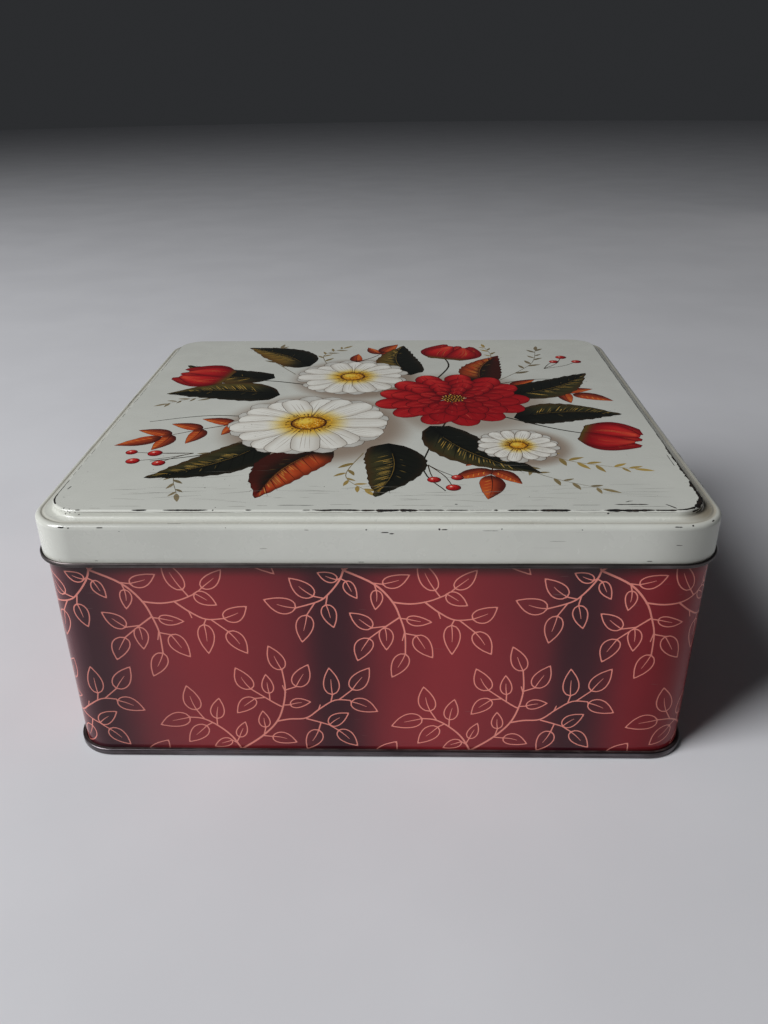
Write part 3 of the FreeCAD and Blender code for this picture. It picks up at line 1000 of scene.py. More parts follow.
BAND_TAGS = ("panel", "edge", "riser", "foot", "ledge", "shoulder", "skirt",
             "crease")
n_band = sum(1 for tag in lid_out.tags if tag in BAND_TAGS)
band_v = lengths[:n_band + 1]
SIDE_AT = (0, 26, 40, 86, 100, 152, 166, 212, 226)    # stations where runs start


# places round the panel's edge, as distances along the lid
def at_front(x):
    return lerp(lid_s[100], lid_s[152], (x + 106.6) / 213.2)


def at_left(y):
    return lerp(lid_s[40], lid_s[86], (97.8 - y) / 195.6)


def at_right(y):
    return lerp(lid_s[166], lid_s[212], (y + 97.8) / 195.6)


def at_back(x):
    return lerp(lid_s[0], lid_s[26], -x / 106.6) if x <= 0 else \
        lerp(lid_s[226], lid_s[252], 1 - x / 106.6)


def at_corner(k, f):
    first = (26, 86, 152, 212)[k]
    return lerp(lid_s[first], lid_s[first + 14], f)


BLACK_STEEL = (12, 11, 10, 0.0)
SCRATCH = (128, 125, 115)
wear_marks = Print()
chip_rnd = random.Random(41)


def chip(s0, s1, v, width, colour=BLACK_STEEL, drift=0.0, ragged=0.3):
    """A long chip of the coating along the edge, ragged and tapered."""
    n = max(3, int(abs(s1 - s0) / 0.55))
    seed = chip_rnd.randrange(1000)
    over, under = [], []
    for k in range(n + 1):
        f = k / n
        s = lerp(s0, s1, f)
        ends = min(1.0, f / 0.14, (1 - f) / 0.14) ** 0.7
        w = width * (0.72 + ragged * (waves(s, 0, 2.3, seed)
                                      + 0.8 * waves(s, 5, 0.9, seed)))
        w = 1.25 * max(w, 0.12 * width) * max(ends, 0.06) / 2
        mid = v + drift * f + width * 0.22 * waves(s, 9, 5.0, seed)
        over.append((s, mid + w))
        under.append((s, mid - w))
    wear_marks.add(over + under[::-1], colour)


def speck(s, v, r, colour=BLACK_STEEL):
    pts = []
    for k in range(7):
        a = 2 * PI * k / 7
        q = r * chip_rnd.uniform(0.6, 1.2)
        pts.append((s + 1.3 * q * math.cos(a), v + q * math.sin(a)))
    wear_marks.add(pts, colour)


EDGE_V = 5.35
# front edge: where each chip starts and ends, and its width
for x0, x1, w in ((-107.4, -105.2, .45), (-86.9, -81.1, .62), (-75.7, -59.2, .68),
                  (-57.9, -57.2, .5), (-46.0, -43.6, .45), (-25.6, -22.6, .36),
                  (-22.4, -4.4, .72), (-4.8, 0.6, .6), (0.3, 9.4, 1.05),
                  (8.8, 15.6, 1.0), (15.2, 25.2, .55), (25.0, 33.6, .42),
                  (33.4, 42.0, .2), (42.2, 43.9, .85), (47.0, 58.8, .6),
                  (58.2, 69.6, .85), (69.8, 80.4, .16), (80.8, 99.4, 1.0),
                  (98.8, 106.6, .62)):
    chip(at_front(x0), at_front(x1), EDGE_V, 1.12 * w)
# thinner lines behind it, and a thin grey line of painted shade under the panel's edge, along the top of
# the step
_x = -107.0
while _x < 106.0:
    _l = chip_rnd.uniform(9, 30)
    chip(at_front(_x), at_front(min(_x + _l, 107.0)), 6.2, chip_rnd.uniform(.10, .2),
         mix((150, 147, 137), (110, 107, 98), chip_rnd.random()), ragged=0.12)
    _x += _l + chip_rnd.uniform(0.3, 2.4)
for x0, x1, v, w, c in ((-102.7, -98.2, 4.0, .22, SCRATCH), (-53, -46, 2.6, .2, SCRATCH),
                        (-42.4, -38.4, 2.0, .26, SCRATCH), (-35.2, -21.4, 1.7, .36, BLACK_STEEL),
                        (-16.4, -8.0, 1.1, .2, SCRATCH), (6.0, 22.0, 1.8, .2, SCRATCH),
                        (24, 36, 2.4, .16, SCRATCH), (70.1, 80.8, 1.5, .26, (92, 90, 82)),
                        (85.6, 97.8, 1.0, .75, BLACK_STEEL), (90, 104, 2.6, .2, SCRATCH),
                        (-96, -84, 2.4, .18, SCRATCH), (50, 64, 2.2, .18, SCRATCH)):
    chip(at_front(x0), at_front(x1), v, w, c)
chip(at_front(103.6), at_front(107.0), 0.6, 0.95, drift=3.6)       # a nick
chip(at_left(-89.8), at_left(-92.6), 2.4, 0.55, drift=0.5)
speck(at_front(82.4), 6.6, 0.35)
speck(at_front(29.3), 0.9, 0.4)
speck(at_front(-57.0), 3.4, 0.25)
# front right corner and right side: thick and ragged
chip(at_front(106.0), at_corner(2, 0.55), 5.2, 0.75)
chip(at_corner(2, 0.32), at_corner(2, 1.0), 5.2, 1.7, ragged=0.75)
chip(at_corner(2, 0.5), at_right(-86), 4.7, 1.5, ragged=0.85)
chip(at_corner(2, 0.3), at_corner(2, 0.62), 6.6, 0.7, ragged=0.6)
chip(at_corner(2, 0.4), at_corner(2, 0.72), 7.5, 0.45, ragged=0.7)
chip(at_right(-99), at_right(-72), 5.2, 1.5, ragged=0.75)
chip(at_right(-80), at_right(-50), 5.2, 1.1, ragged=0.6)
chip(at_right(-97), at_right(-50), 6.9, 0.62, ragged=0.5)
chip(at_right(-72), at_right(-60), 3.4, 0.28)
for y0, y1, w in ((-55, -44, .34), (-44, -37, .4), (-30, -18, .24), (-12, 4, .22),
                  (12, 17, .2), (21, 28, .36), (36, 46, .2), (49, 58, .4),
                  (66, 80, .2), (84, 93, .26)):
    chip(at_right(y0), at_right(y1), EDGE_V, 1.5 * w)
# left side: a thin broken line
chip(at_corner(1, -0.1), at_corner(1, 0.42), 5.2, 0.9)
for y0, y1, w in ((-97, -83.5, .62), (-80, -76, .34), (-75, -69.5, .36), (-68, -60, .24),
                  (-59, -52.5, .34), (-47, -40, .2), (-35, -16, .16), (-16.5, -11, .4),
                  (-8, -3, .2), (1.5, 11.5, .42), (11.5, 28, .28), (30, 50, .2),
                  (51, 78, .34), (76, 100, .3)):
    chip(at_left(y1), at_left(y0), EDGE_V, 1.5 * w)
chip(at_left(24), at_left(6), 12.2, 0.22)
chip(at_left(-40), at_left(-52), 12.4, 0.16, SCRATCH)
for _k in range(15):
    speck(at_corner(1, chip_rnd.uniform(0.66, 1.05)), chip_rnd.gauss(5.9, 0.8),
          chip_rnd.uniform(0.12, 0.32))
# back
for x0, x1, w in ((-92, -80, .2), (-60, -41, .26), (-20, -14, .2), (8, 30, .24),
                  (52, 60, .2), (74, 98, .28)):
    a, b = sorted((at_back(x0), at_back(x1)))
    chip(a, b, EDGE_V, w)
chip(at_corner(0, 0.3), at_corner(0, 0.7), EDGE_V, 0.4)
chip(at_corner(3, 0.2), at_corner(3, 0.6), EDGE_V, 0.5)
# shoulder and skirt
SH = 13.9
for x0, x1, v, w, c in ((-109.6, -107.0, 14.2, .6, BLACK_STEEL), (-96.0, -93.4, 14.2, .4, BLACK_STEEL),
                        (-71.6, -66.4, 12.4, .24, (104, 102, 94)), (2.4, 5.2, 15.9, .46, BLACK_STEEL),
                        (5.2, 7.0, 16.4, .4, BLACK_STEEL), (23.0, 25.3, 14.8, .42, BLACK_STEEL),
                        (37.0, 42.7, 15.2, .2, (104, 102, 94)), (-24, -22.2, 15.0, .22, SCRATCH),
                        (102.1, 104.9, 13.9, .46, BLACK_STEEL), (103.4, 105.8, 21.0, .3, (112, 110, 102)),
                        (-40, -37, 22.5, .16, SCRATCH), (60, 66, 19.4, .14, SCRATCH)):
    chip(at_front(x0), at_front(x1), v, w, c)
for x, v, r in ((-105.6, 14.4, .3), (-2.6, 14.9, .3), (22.4, 14.7, .34), (43.7, 14.6, .22),
                (108.6, 13.4, .34), (-88, 15.6, .16), (71, 14.9, .2), (-51, 14.2, .18)):
    speck(at_front(x), v, r)
chip(at_corner(2, 0.42), at_corner(2, 0.5), 13.4, 0.6)
chip(at_right(-84), at_right(-66), 13.2, 0.3)
chip(at_right(-58), at_right(-50), 13.0, 0.2)
for _k in range(34):
    s = chip_rnd.uniform(4, lid_total - 4)
    if lid_s[98] < s < lid_s[168]:
        continue
    if chip_rnd.random() < 0.55:
        chip(s, s + chip_rnd.uniform(0.8, 3.2), chip_rnd.gauss(SH, 0.6),
             chip_rnd.uniform(0.2, 0.5))
    else:
        speck(s, chip_rnd.gauss(SH, 0.9), chip_rnd.uniform(0.12, 0.32))
for _k in range(26):          # rubbed places just over the hem
    s = chip_rnd.uniform(4, lid_total - 4)
    chip(s, s + chip_rnd.uniform(0.8, 4.0), band_v[-1] - chip_rnd.uniform(0.75, 1.3),
         chip_rnd.uniform(0.15, 0.32))


HOLLOW_V = band_v[max(k for k, (u, z) in enumerate(lid_out.points[:n_band])
                      if u > 2.45)]


def band_ground(s, v):
    """The enamel round the panel: darker with soiling and painted shade in the hollow before the shoulder
    and round the front right corner, with soiling at the skirt's foot, and greyed as painted shade at the
    left end of the front.
    """
    c = CREAM
    # soiling and painted shade along the hollow just before the shoulder
    g = 0.20 * math.exp(-((v - HOLLOW_V) / 1.0) ** 2) * (0.9 + 0.5 * waves(s, v, 23, 51))
    g += 0.22 * math.exp(-((v - HOLLOW_V - 0.25) / 0.36) ** 2) * (0.8 + 0.7 * waves(s, v, 17, 52))
    # soiling and painted shade on the step and ledge round the front right corner and the front of the
    # right side
    corner = math.exp(-((s - at_corner(2, 0.62)) / 10.0) ** 2) \
        + 0.5 * math.exp(-((s - at_right(-84)) / 22.0) ** 2)
    g += 0.55 * corner * smooth(6.6, 8.4, v) * smooth(12.4, 10.0, v)
    g += 0.10 * smooth(band_v[-1] - 2.2, band_v[-1] - 0.9, v) * (0.8 + 0.7 * waves(s, v, 11, 53))
    c = mix(c, (104, 90, 68), clamp(g, 0.0, 0.8))
    # painted shade: the shoulder and skirt greyed over the front left corner and the left end of the
    # front
    shoulder_left_shade = smooth(at_corner(1, 0.35), at_corner(1, 0.8), s) \
        * smooth(at_front(-20), at_front(-96), s) * smooth(11.0, 13.0, v)
    return mix(c, (120, 120, 116), 0.14 * shoulder_left_shade * (1.0 + 0.5 * waves(s, v, 30, 54)))


BAKE_TOP = 0.80 / 257.0          # flat part of the bake map, per mm


def bake_planar(x, y):
    return (0.005 + (x + 128.5) * BAKE_TOP, 0.005 + (y + 119.7) * BAKE_TOP)


def bake_under(x, y):
    return (0.812 + (x + LX) * 0.18 / (2 * LX), 0.01 + (y + LY) * 0.18 / (2 * LX))


ids = []
for i, st in enumerate(stations):
    row = []
    for j, (u, z) in enumerate(lid_out.points):
        (x, y), o = loop_point(st, LX - u, LY - u,
                               lid_corner(u) if u >= 0 else LR - u)
        # the rolled hem and skirt are a little uneven
        k = smooth(SKIRT_FOOT + 9, SKIRT_FOOT, z) if u < 2 else 0.0
        w = k * (0.16 * waves(lid_s[i], 0, 46, 8) + 0.05 * waves(lid_s[i], 3, 15, 9))
        row.append(lid.vert((x + o[0] * w, y + o[1] * w,
                             z + k * 0.07 * waves(lid_s[i], 9, 34, 10))))
    ids.append(row)

MAT_OUT, MAT_HEM, MAT_IN, MAT_CHIP = 0, 1, 2, 3
outward = [loop_point(st, LX, LY, LR)[1] for st in stations]


def eased_outward(i):
    """The skirt's direction where it turns, gradually, into the corner at the
    front right; elsewhere the loop's own."""
    reach = 20.0
    near = smooth(at_front(60), at_front(80), lid_s[i]) \
        * smooth(at_right(-50), at_right(-70), lid_s[i])
    if near <= 0.0:
        return outward[i]
    total = Vector((0.0, 0.0))
    for k in range(-20, 21):
        s = lid_s[i] + reach * k / 20.0
        a = bisect.bisect_right(lid_s, s) - 1
        f = (s - lid_s[a]) / (lid_s[a + 1] - lid_s[a])
        total += Vector(outward[a]).lerp(Vector(outward[(a + 1) % n_st]), f)
    out = Vector(outward[i]).lerp(total.normalized(), near).normalized()
    return (out.x, out.y)


skirt_out = [eased_outward(i) for i in range(n_st)]
rim_at = [loop_point(st, LX - BAND, LY - BAND, lid_corner(BAND))[0]
          for st in stations]


def bake_skirt(s, z, row_k):
    fx = (s - row_k * lid_total / 4) / (lid_total / 4)
    return (0.005 + 0.795 * clamp(fx), 0.762 + 0.058 * row_k
            + 0.0030 * (z - 90.6))


# enamel from the panel's rim to the hem, cut along the chips
node_no, border = {}, []
for i in range(n_st + 1):
    node_no[(i, 0)] = len(border)
    border.append((lid_s[i], 0.0))
for j in range(1, n_band + 1):
    node_no[(n_st, j)] = len(border)
    border.append((lid_s[n_st], band_v[j]))
for i in range(n_st - 1, -1, -1):
    node_no[(i, n_band)] = len(border)
    border.append((lid_s[i], band_v[n_band]))
for j in range(n_band - 1, 0, -1):
    node_no[(0, j)] = len(border)
    border.append((0.0, band_v[j]))
points = []
for i in range(1, n_st):
    for j in range(1, n_band):
        node_no[(i, j)] = len(border) + len(points)
        points.append((lid_s[i], band_v[j]))
links = [(node_no[(i, j)], node_no[(i + 1, j)]) for i in range(n_st)
         for j in range(1, n_band)]
links += [(node_no[(i, j)], node_no[(i, j + 1)]) for i in range(1, n_st)
          for j in range(n_band)]
node_at = {k: ij for ij, k in node_no.items()}
wear_marks.shapes = kept_inside(wear_marks.shapes, (0.3, 0.06),
                                (lid_total - 0.3, band_v[-1] - 0.06))
v2, own, tris, cols = wear_marks.triangulate(border, [], points, band_ground,
                                             links)


def band_cell(s, v):
    i = min(max(bisect.bisect_right(lid_s, s) - 1, 0), n_st - 1)
    j = min(max(bisect.bisect_right(band_v, v) - 1, 0), n_band - 1)
    return i, j


def band_mix(i, j, s, v, value):
    """Value between a cell's four corners, each from value(i, j)."""
    f = clamp((s - lid_s[i]) / (lid_s[i + 1] - lid_s[i]))
    g = clamp((v - band_v[j]) / (band_v[j + 1] - band_v[j]))
    a, b = value(i % n_st, j), value((i + 1) % n_st, j)
    c, d = value(i % n_st, j + 1), value((i + 1) % n_st, j + 1)
    return tuple(lerp(lerp(p, q, f), lerp(r, w, f), g)
                 for p, q, r, w in zip(a, b, c, d))


band_ids = []
for p, k in zip(v2, own):
    if k >= 0:
        i, j = node_at[k]
        band_ids.append(ids[i % n_st][j])
    else:
        i, j = band_cell(p.x, p.y)
        x, y, z = band_mix(i, j, p.x, p.y, lambda i, j: lid.verts[ids[i][j]])
        band_ids.append(lid.vert((x / MM, y / MM, z / MM)))
for tri, col in zip(tris, cols):
    mid_s = sum(v2[k].x for k in tri) / 3
    mid_v = sum(v2[k].y for k in tri) / 3
    i, j = band_cell(mid_s, mid_v)
    tag = lid_out.tags[j]
    na, nb = lid_out.normals[j]
    row_k = min(int(mid_s / (lid_total / 4)), 3)
    normals, bake = [], []
    for k in tri:
        s, v = v2[k].x, v2[k].y
        f = clamp((s - lid_s[i]) / (lid_s[i + 1] - lid_s[i]))
        g = clamp((v - band_v[j]) / (band_v[j + 1] - band_v[j]))
        o0, o1 = outward[i], outward[(i + 1) % n_st]
        turn = skirt_out if tag in ("shoulder", "skirt", "crease") else outward
        t0, t1 = turn[i], turn[(i + 1) % n_st]
        o = (lerp(t0[0], t1[0], f), lerp(t0[1], t1[1], f))
        nu, nz = lerp(na[0], nb[0], g), lerp(na[1], nb[1], g)
        normals.append((-nu * o[0], -nu * o[1], nz))
        if tag in ("skirt", "crease"):
            z = lerp(lid_out.points[j][1], lid_out.points[j + 1][1], g)
            bake.append(bake_skirt(s, z, row_k))
        else:
            r0, r1 = rim_at[i], rim_at[(i + 1) % n_st]
            bake.append(bake_planar(lerp(r0[0] + o0[0] * v, r1[0] + o1[0] * v, f),
                                    lerp(r0[1] + o0[1] * v, r1[1] + o1[1] * v, f)))
    # the flat strip turns the same way as the rest of the lid: its second
    # axis runs from the panel outwards
    order = (0, 2, 1)
    mat = MAT_CHIP if max(c[3] for c in col) < 0.5 else MAT_OUT
    lid.face([band_ids[tri[k]] for k in order], mat,
             [normals[k] for k in order],
             [col[k][:3] + (1.0,) for k in order],
             [(v2[tri[k]].x * MM, v2[tri[k]].y * MM) for k in order],
             [bake[k] for k in order])

cream_lin = linear(CREAM)
for i in range(n_st):
    i2 = (i + 1) % n_st
    s0, s1 = lid_s[i], lid_s[i + 1]
    for j in range(n_band, n_pr - 1):
        tag = lid_out.tags[j]
        mat = MAT_HEM if tag == "hem" else MAT_IN
        quad = (ids[i][j], ids[i][j + 1], ids[i2][j + 1], ids[i2][j])
        na, nb = lid_out.normals[j]
        normals, bake = [], []
        for (ii, jj, nn) in ((i, j, na), (i, j + 1, nb), (i2, j + 1, nb),
                             (i2, j, na)):
            o = outward[ii]
            normals.append((-nn[0] * o[0], -nn[0] * o[1], nn[1]))
            s = s0 if ii == i else s1
            bake.append((0.815 + 0.17 * s / lid_total,
                         0.22 + 0.76 * (lengths[jj] - lengths[n_band])
                         / (lengths[-1] - lengths[n_band])))
        wear = [(s * MM, lengths[jj] * MM) for s, jj in
                ((s0, j), (s0, j + 1), (s1, j + 1), (s1, j))]
        lid.face(quad, mat, normals, [cream_lin] * 4, wear, bake)

# the flat of the panel with its picture
border = []
for st in stations:
    (x, y), o = loop_point(st, LX - BAND, LY - BAND, lid_corner(BAND))
    border.append((x, y))
fill_points = []
for a in range(-54, 55):
    for b in range(-50, 51):
        x = a * 2.1 + (1.05 if b % 2 else 0.0)
        y = b * 2.1
        if abs(x) < LX - BAND - 2.0 and abs(y) < LY - BAND - 2.0 and \
                math.hypot(max(abs(x) - 104, 0), max(abs(y) - 96, 0)) < 6:
            fill_points.append((x, y))
picture.shapes = kept_inside(picture.shapes, (-112.4, -103.6), (112.4, 103.6))
v2, own, tris, cols = picture.triangulate(border, [], fill_points, ground)
top_ids = []
for p, k in zip(v2, own):
    if 0 <= k < len(border):
        top_ids.append(ids[k][0])
    else:
        top_ids.append(lid.vert((p.x, p.y, PANEL + lid_wave(p.x, p.y))))
panel_normals = [lid_wave_normal(p.x, p.y) for p in v2]
for tri, col in zip(tris, cols):
    lid.face([top_ids[i] for i in tri], MAT_OUT,
             [panel_normals[i] for i in tri], col,
             [(v2[i].x * MM, -0.05) for i in tri],
             [bake_planar(v2[i].x, v2[i].y) for i in tri])

# underside of the panel
plain = Print()
coarse = [(a * 9.0, b * 9.0) for a in range(-12, 13) for b in range(-11, 12)
          if abs(a * 9.0) < LX - BAND - 4 and abs(b * 9.0) < LY - BAND - 4]
v2, own, tris, cols = plain.triangulate(border, [], coarse,
                                        lambda x, y: (170, 170, 168))
under_ids = []
for p, k in zip(v2, own):
    if 0 <= k < len(border):
        under_ids.append(ids[k][n_pr - 1])
    else:
        under_ids.append(lid.vert((p.x, p.y,
                                   PANEL - PLATE + lid_wave(p.x, p.y))))
for tri, col in zip(tris, cols):
    t = tri[::-1]
    lid.face([under_ids[i] for i in t], MAT_IN,
             [tuple(-k for k in lid_wave_normal(v2[i].x, v2[i].y)) for i in t],
             col, [(v2[i].x * MM, v2[i].y * MM) for i in t],
             [bake_under(v2[i].x, v2[i].y) for i in t])


# ------------------------------------------------------------- the wall's print
PERIOD_COUNT = 10
WALL_LOW, WALL_HIGH = 1.0, WALL_TOP - CURL
GROOVE = 0.45                     # half width of the lock seam's groove
GROOVE_AT = 2.45                  # its middle, left of the back's middle (s < 0)
LINE = 0.47

side_x, side_y, arc_w = 2 * (WX - WR), 2 * (WY - WR), PI / 2 * WR
WALL_P = 2 * side_x + 2 * side_y + 4 * arc_w
PERIOD = WALL_P / PERIOD_COUNT


def wall_at(s, off=0.0):
    """Place, outward direction at s along the wall, counted counter-clockwise
    from the middle of the back; off is outwards."""
    s %= WALL_P
    runs = (("x", side_x / 2, -1, (0, WY)), ("c", arc_w, PI / 2, (-WX + WR, WY - WR)),
            ("y", side_y, -1, (-WX, WY - WR)), ("c", arc_w, PI, (-WX + WR, -WY + WR)),
            ("x", side_x, 1, (-WX + WR, -WY)), ("c", arc_w, 1.5 * PI, (WX - WR, -WY + WR)),
            ("y", side_y, 1, (WX, -WY + WR)), ("c", arc_w, 0.0, (WX - WR, WY - WR)),
            ("x", side_x / 2, -1, (WX - WR, WY)))
    for kind, ln, d, at in runs:
        if s <= ln + 1e-9:
            break
        s -= ln
    if kind == "c":
        a = d + s / WR
        o = (math.cos(a), math.sin(a))
        return (at[0] + (WR + off) * o[0], at[1] + (WR + off) * o[1]), o
    if kind == "x":
        o = (0.0, 1.0 if d < 0 else -1.0)
        return (at[0] + d * s, at[1] + o[1] * off), o
    o = (-1.0 if d < 0 else 1.0, 0.0)
    return (at[0] + o[0] * off, at[1] + d * s), o


CORAL = (236, 145, 131)
RED, BLACK = (146, 40, 47), (60, 17, 28)
FRONT = WALL_P / 2 + GROOVE_AT     # middle of the front
ROOT = FRONT - 55.6                # one bottom root, on the front


# how red the ground is at a distance (mm) from the middle of a dark band
BAND_FADE = ((-46.5, .98), (-28, .82), (-18, .68), (-13, .54), (-8, .20),
             (-5, .05), (-2, .0), (2, .02), (5, .08), (17, .71), (23, .86),
             (38, .98), (46.5, .98))


def ombre(s, z):
    """Dark red with soft near-black bands, one to a repeat."""
    d = (((s - ROOT - 39.9) / PERIOD + 0.5) % 1.0 - 0.5) * PERIOD
    k = max(bisect.bisect_right(BAND_FADE, (d, 2.0)) - 1, 0)
    k = min(k, len(BAND_FADE) - 2)
    (d0, f0), (d1, f1) = BAND_FADE[k], BAND_FADE[k + 1]
    return mix(BLACK, RED, lerp(f0, f1, clamp((d - d0) / (d1 - d0))))


wall_print = Print()


def outlined_leaf(base, angle, length, width, bend, s0):
    """A leaf drawn as a line round the ground colour, with a stroke inside."""
    tip = (base[0] + length * math.cos(angle), base[1] + length * math.sin(angle))
    b = Blade(base, tip, width, bend, "leaf", 15)
    half = LINE / 2
    wall_print.add([(x + s0, y) for x, y in grown(b.outline, half)], CORAL)
    inner = grown(b.outline, -half)
    # the point of the inner outline is drawn back so that the tip stays filled
    n = len(inner)
    k = max(range(n), key=lambda i: (inner[i][0] - base[0]) * b.d[0]
            + (inner[i][1] - base[1]) * b.d[1])
    inner[k] = b.at(1.0 - 1.5 * LINE / length, 0.0)
    inner[0] = b.at(0.9 * LINE / length, 0.0)
    wall_print.add([(x + s0, y) for x, y in inner], ombre)
    rib = [b.at(t, 0.04 * math.sin(6 * t)) for t in (0.02, 0.15, 0.3, 0.45, 0.58)]
    wall_print.stroke([(x + s0, y) for x, y in rib], LINE * 0.95, LINE * 0.75,
                      LINE * 0.35, colour=CORAL)


# one sprig, root at 0, 0 and growing upwards: twigs as point lists, and leaves
# as (x, y, direction in degrees, length, width, bend, where its stalk starts)
TWIGS = (
    (((0.0, 0.0), (-3.5, 6.9), (-8.8, 12.5), (-14.2, 15.9), (-19.4, 16.6)), 1.0, 0.7),
    (((0.0, 0.0), (8.5, 6.6), (15.1, 14.2), (18.3, 22.3), (19.7, 31.3), (19.0, 40.4)), 1.1, 0.72),
    (((15.6, 14.8), (20.5, 15.9), (27.3, 16.6), (33.0, 21.4), (39.0, 25.6), (45.2, 25.5)), 0.95, 0.65),
    (((27.2, 16.2), (32.6, 14.4), (36.3, 13.0)), 0.85, 0.62),
    (((18.5, 22.0), (15.4, 23.8), (6.3, 30.9)), 0.9, 0.65),
    (((19.8, 29.2), (18.7, 32.9)), 0.7, 0.5),
    (((32.3, 20.8), (33.1, 23.4)), 0.7, 0.5),
)
LEAVES = (
    (-19.4, 16.6, 198, 12.9, 7.2, -0.03, None),
    (-16.3, 20.3, 103, 12.5, 6.7, 0.03, (-13.7, 15.7)),
    (-8.7, 15.9, 80, 10.6, 5.6, 0.01, (-8.8, 12.5)),
    (-13.1, 12.3, 227, 11.8, 6.7, -0.01, (-10.6, 13.9)),
    (-3.5, 4.7, 204, 8.1, 4.4, -0.03, (-1.4, 3.1)),
    (-0.5, 6.3, 69, 8.6, 4.3, -0.01, (-1.7, 3.8)),
    (19.0, 40.4, 112, 12.2, 6.2, 0.0, None),
    (24.0, 32.2, 64, 11.9, 6.8, -0.01, (19.6, 30.5)),
    (21.1, 23.2, 10, 8.4, 4.6, 0.04, (18.4, 23.0)),
    (10.6, 11.5, 94, 8.5, 4.6, 0.01, (9.7, 7.8)),
    (13.0, 6.8, -17, 10.2, 5.8, 0.06, (9.1, 7.2)),
    (6.3, 30.9, 117, 11.7, 6.5, 0.04, None),
    (13.3, 28.8, 95, 9.4, 4.6, 0.01, (13.3, 25.4)),
    (7.5, 26.3, 224, 10.7, 6.0, -0.04, (11.6, 26.8)),
    (45.3, 24.9, -25, 11.5, 6.5, 0.03, (44.9, 25.5)),
    (45.9, 30.8, 57, 12.7, 6.9, 0.00, (40.6, 25.9)),
    (38.1, 28.3, 94, 13.1, 6.3, -0.01, (37.4, 24.9)),
    (36.3, 13.0, 38, 10.0, 5.7, 0.04, None),
    (31.9, 10.4, 243, 11.3, 6.6, 0.02, (33.0, 14.3)),
    (39.8, 10.3, -47, 11.1, 6.0, 0.01, (36.3, 13.0)),
)
TOP_TWIGS = (
    (((0.0, 0.0), (-1.6, -4.4), (-5.6, -10.0), (-9.6, -13.4), (-18.1, -16.3)), 1.0, 0.7),
    (((0.0, 0.0), (11.1, -5.9), (17.7, -13.5), (20.6, -20.8), (22.3, -27.6), (22.5, -37.0)), 1.1, 0.72),
    (((17.4, -13.6), (24.3, -14.4), (31.4, -13.1), (38.4, -9.9)), 0.95, 0.65),
    (((29.4, -13.4), (34.9, -18.1), (40.7, -21.4), (47.4, -21.1)), 0.9, 0.65),
    (((20.7, -20.1), (15.3, -24.4), (8.9, -29.9)), 0.9, 0.65),
    (((22.2, -27.0), (21.3, -31.0)), 0.7, 0.5),
    (((34.6, -17.8), (35.5, -20.9)), 0.7, 0.5),
)
TOP_LEAVES = (
    (22.5, -37.0, -115, 12.3, 6.4, 0.01, None),
    (14.1, -5.9, 22, 10.7, 5.5, -0.06, (10.3, -5.4)),
    (11.8, -8.4, -93, 8.6, 4.5, 0.04, (11.1, -5.9)),
    (40.5, -7.7, 45, 11.1, 5.5, -0.04, (38.4, -9.9)),
    (33.4, -8.6, 116, 14.6, 6.3, 0.02, (35.3, -11.4)),
    (37.5, -10.0, -33, 9.4, 5.4, -0.01, (37.1, -10.5)),
    (47.4, -21.1, 31, 10.5, 6.6, -0.07, None),
    (39.7, -23.7, -88, 13.5, 6.3, 0.01, (40.7, -21.4)),
    (48.5, -26.9, -57, 12.1, 6.5, 0.02, (42.5, -21.5)),
    (8.9, -29.9, 246, 11.5, 6.8, -0.05, None),
    (14.8, -25.0, -87, 10.3, 5.4, 0.03, (15.3, -24.4)),
    (10.0, -25.2, 141, 10.7, 5.9, 0.00, (15.3, -24.4)),
    (22.8, -21.1, -8, 9.6, 4.4, -0.04, (20.6, -20.8)),
    (26.5, -28.5, -58, 12.1, 6.6, -0.02, (22.3, -27.6)),
    (-18.1, -16.3, 163, 12.3, 7.1, 0.05, None),
    (-11.3, -11.2, 138, 11.7, 6.5, 0.03, (-7.6, -12.1)),
    (-6.9, -14.8, -76, 10.6, 5.6, 0.0, (-6.2, -10.7)),
    (-14.2, -19.4, 259, 12.6, 6.7, -0.01, (-10.9, -13.9)),
    (-2.3, -4.1, 157, 7.8, 4.2, 0.03, (-1.0, -3.1)),
    (0.7, -4.6, -62, 8.5, 4.3, -0.03, (-1.2, -3.5)),
)
# the part above a top root, and a spray from the upper edge, which the lid hides
RISE_TWIGS = TWIGS[:2]
RISE_LEAVES = LEAVES[:4] + LEAVES[5:6] + LEAVES[9:11]
HANG_TWIGS = (
    (((-9.0, 106.0), (-3.6, 101.6), (1.6, 98.6), (6.4, 95.6)), 0.95, 0.7),
)
HANG_LEAVES = (
    (6.4, 95.6, -38, 16.0, 7.0, 0.06, None),
    (-4.2, 100.0, 226, 10.6, 6.0, 0.05, (-3.0, 101.3)),
    (2.4, 100.4, 48, 9.4, 5.2, -0.05, (1.2, 98.8)),
)
s_first, s_last = GROOVE, WALL_P - GROOVE


def sprig(s0, z0, twigs, leaves):
    for pts, w0, w1 in twigs:
        wall_print.stroke([(x + s0, y + z0) for x, y in spline(pts, 5)],
                          0.78 * w0, 0.39 * (w0 + w1), 0.78 * w1, colour=CORAL)
    for x, y, a, ln, wd, bend, start in leaves:
        if start:
            wall_print.stroke([(start[0] + s0, start[1] + z0),
                               ((start[0] + x) / 2 + s0, (start[1] + y) / 2 + z0),
                               (x + s0, y + z0)], 0.56, 0.52, 0.50, colour=CORAL)
        outlined_leaf((x, y + z0), math.radians(a), ln, wd, bend, s0)


for k in range(-5, 6):
    root = ROOT + k * PERIOD
    sprig(root, 2.2, TWIGS, LEAVES)
    sprig(root + 44.2, 87.4, RISE_TWIGS, RISE_LEAVES)
    sprig(root + 44.2, 87.4, TOP_TWIGS, TOP_LEAVES)
    sprig(root, 0.0, HANG_TWIGS, HANG_LEAVES)
    # the tip of a leaf that the seam cuts off
    outlined_leaf((-37.2, -4.0), math.radians(55), 13.1, 8.7, 0.0, root)


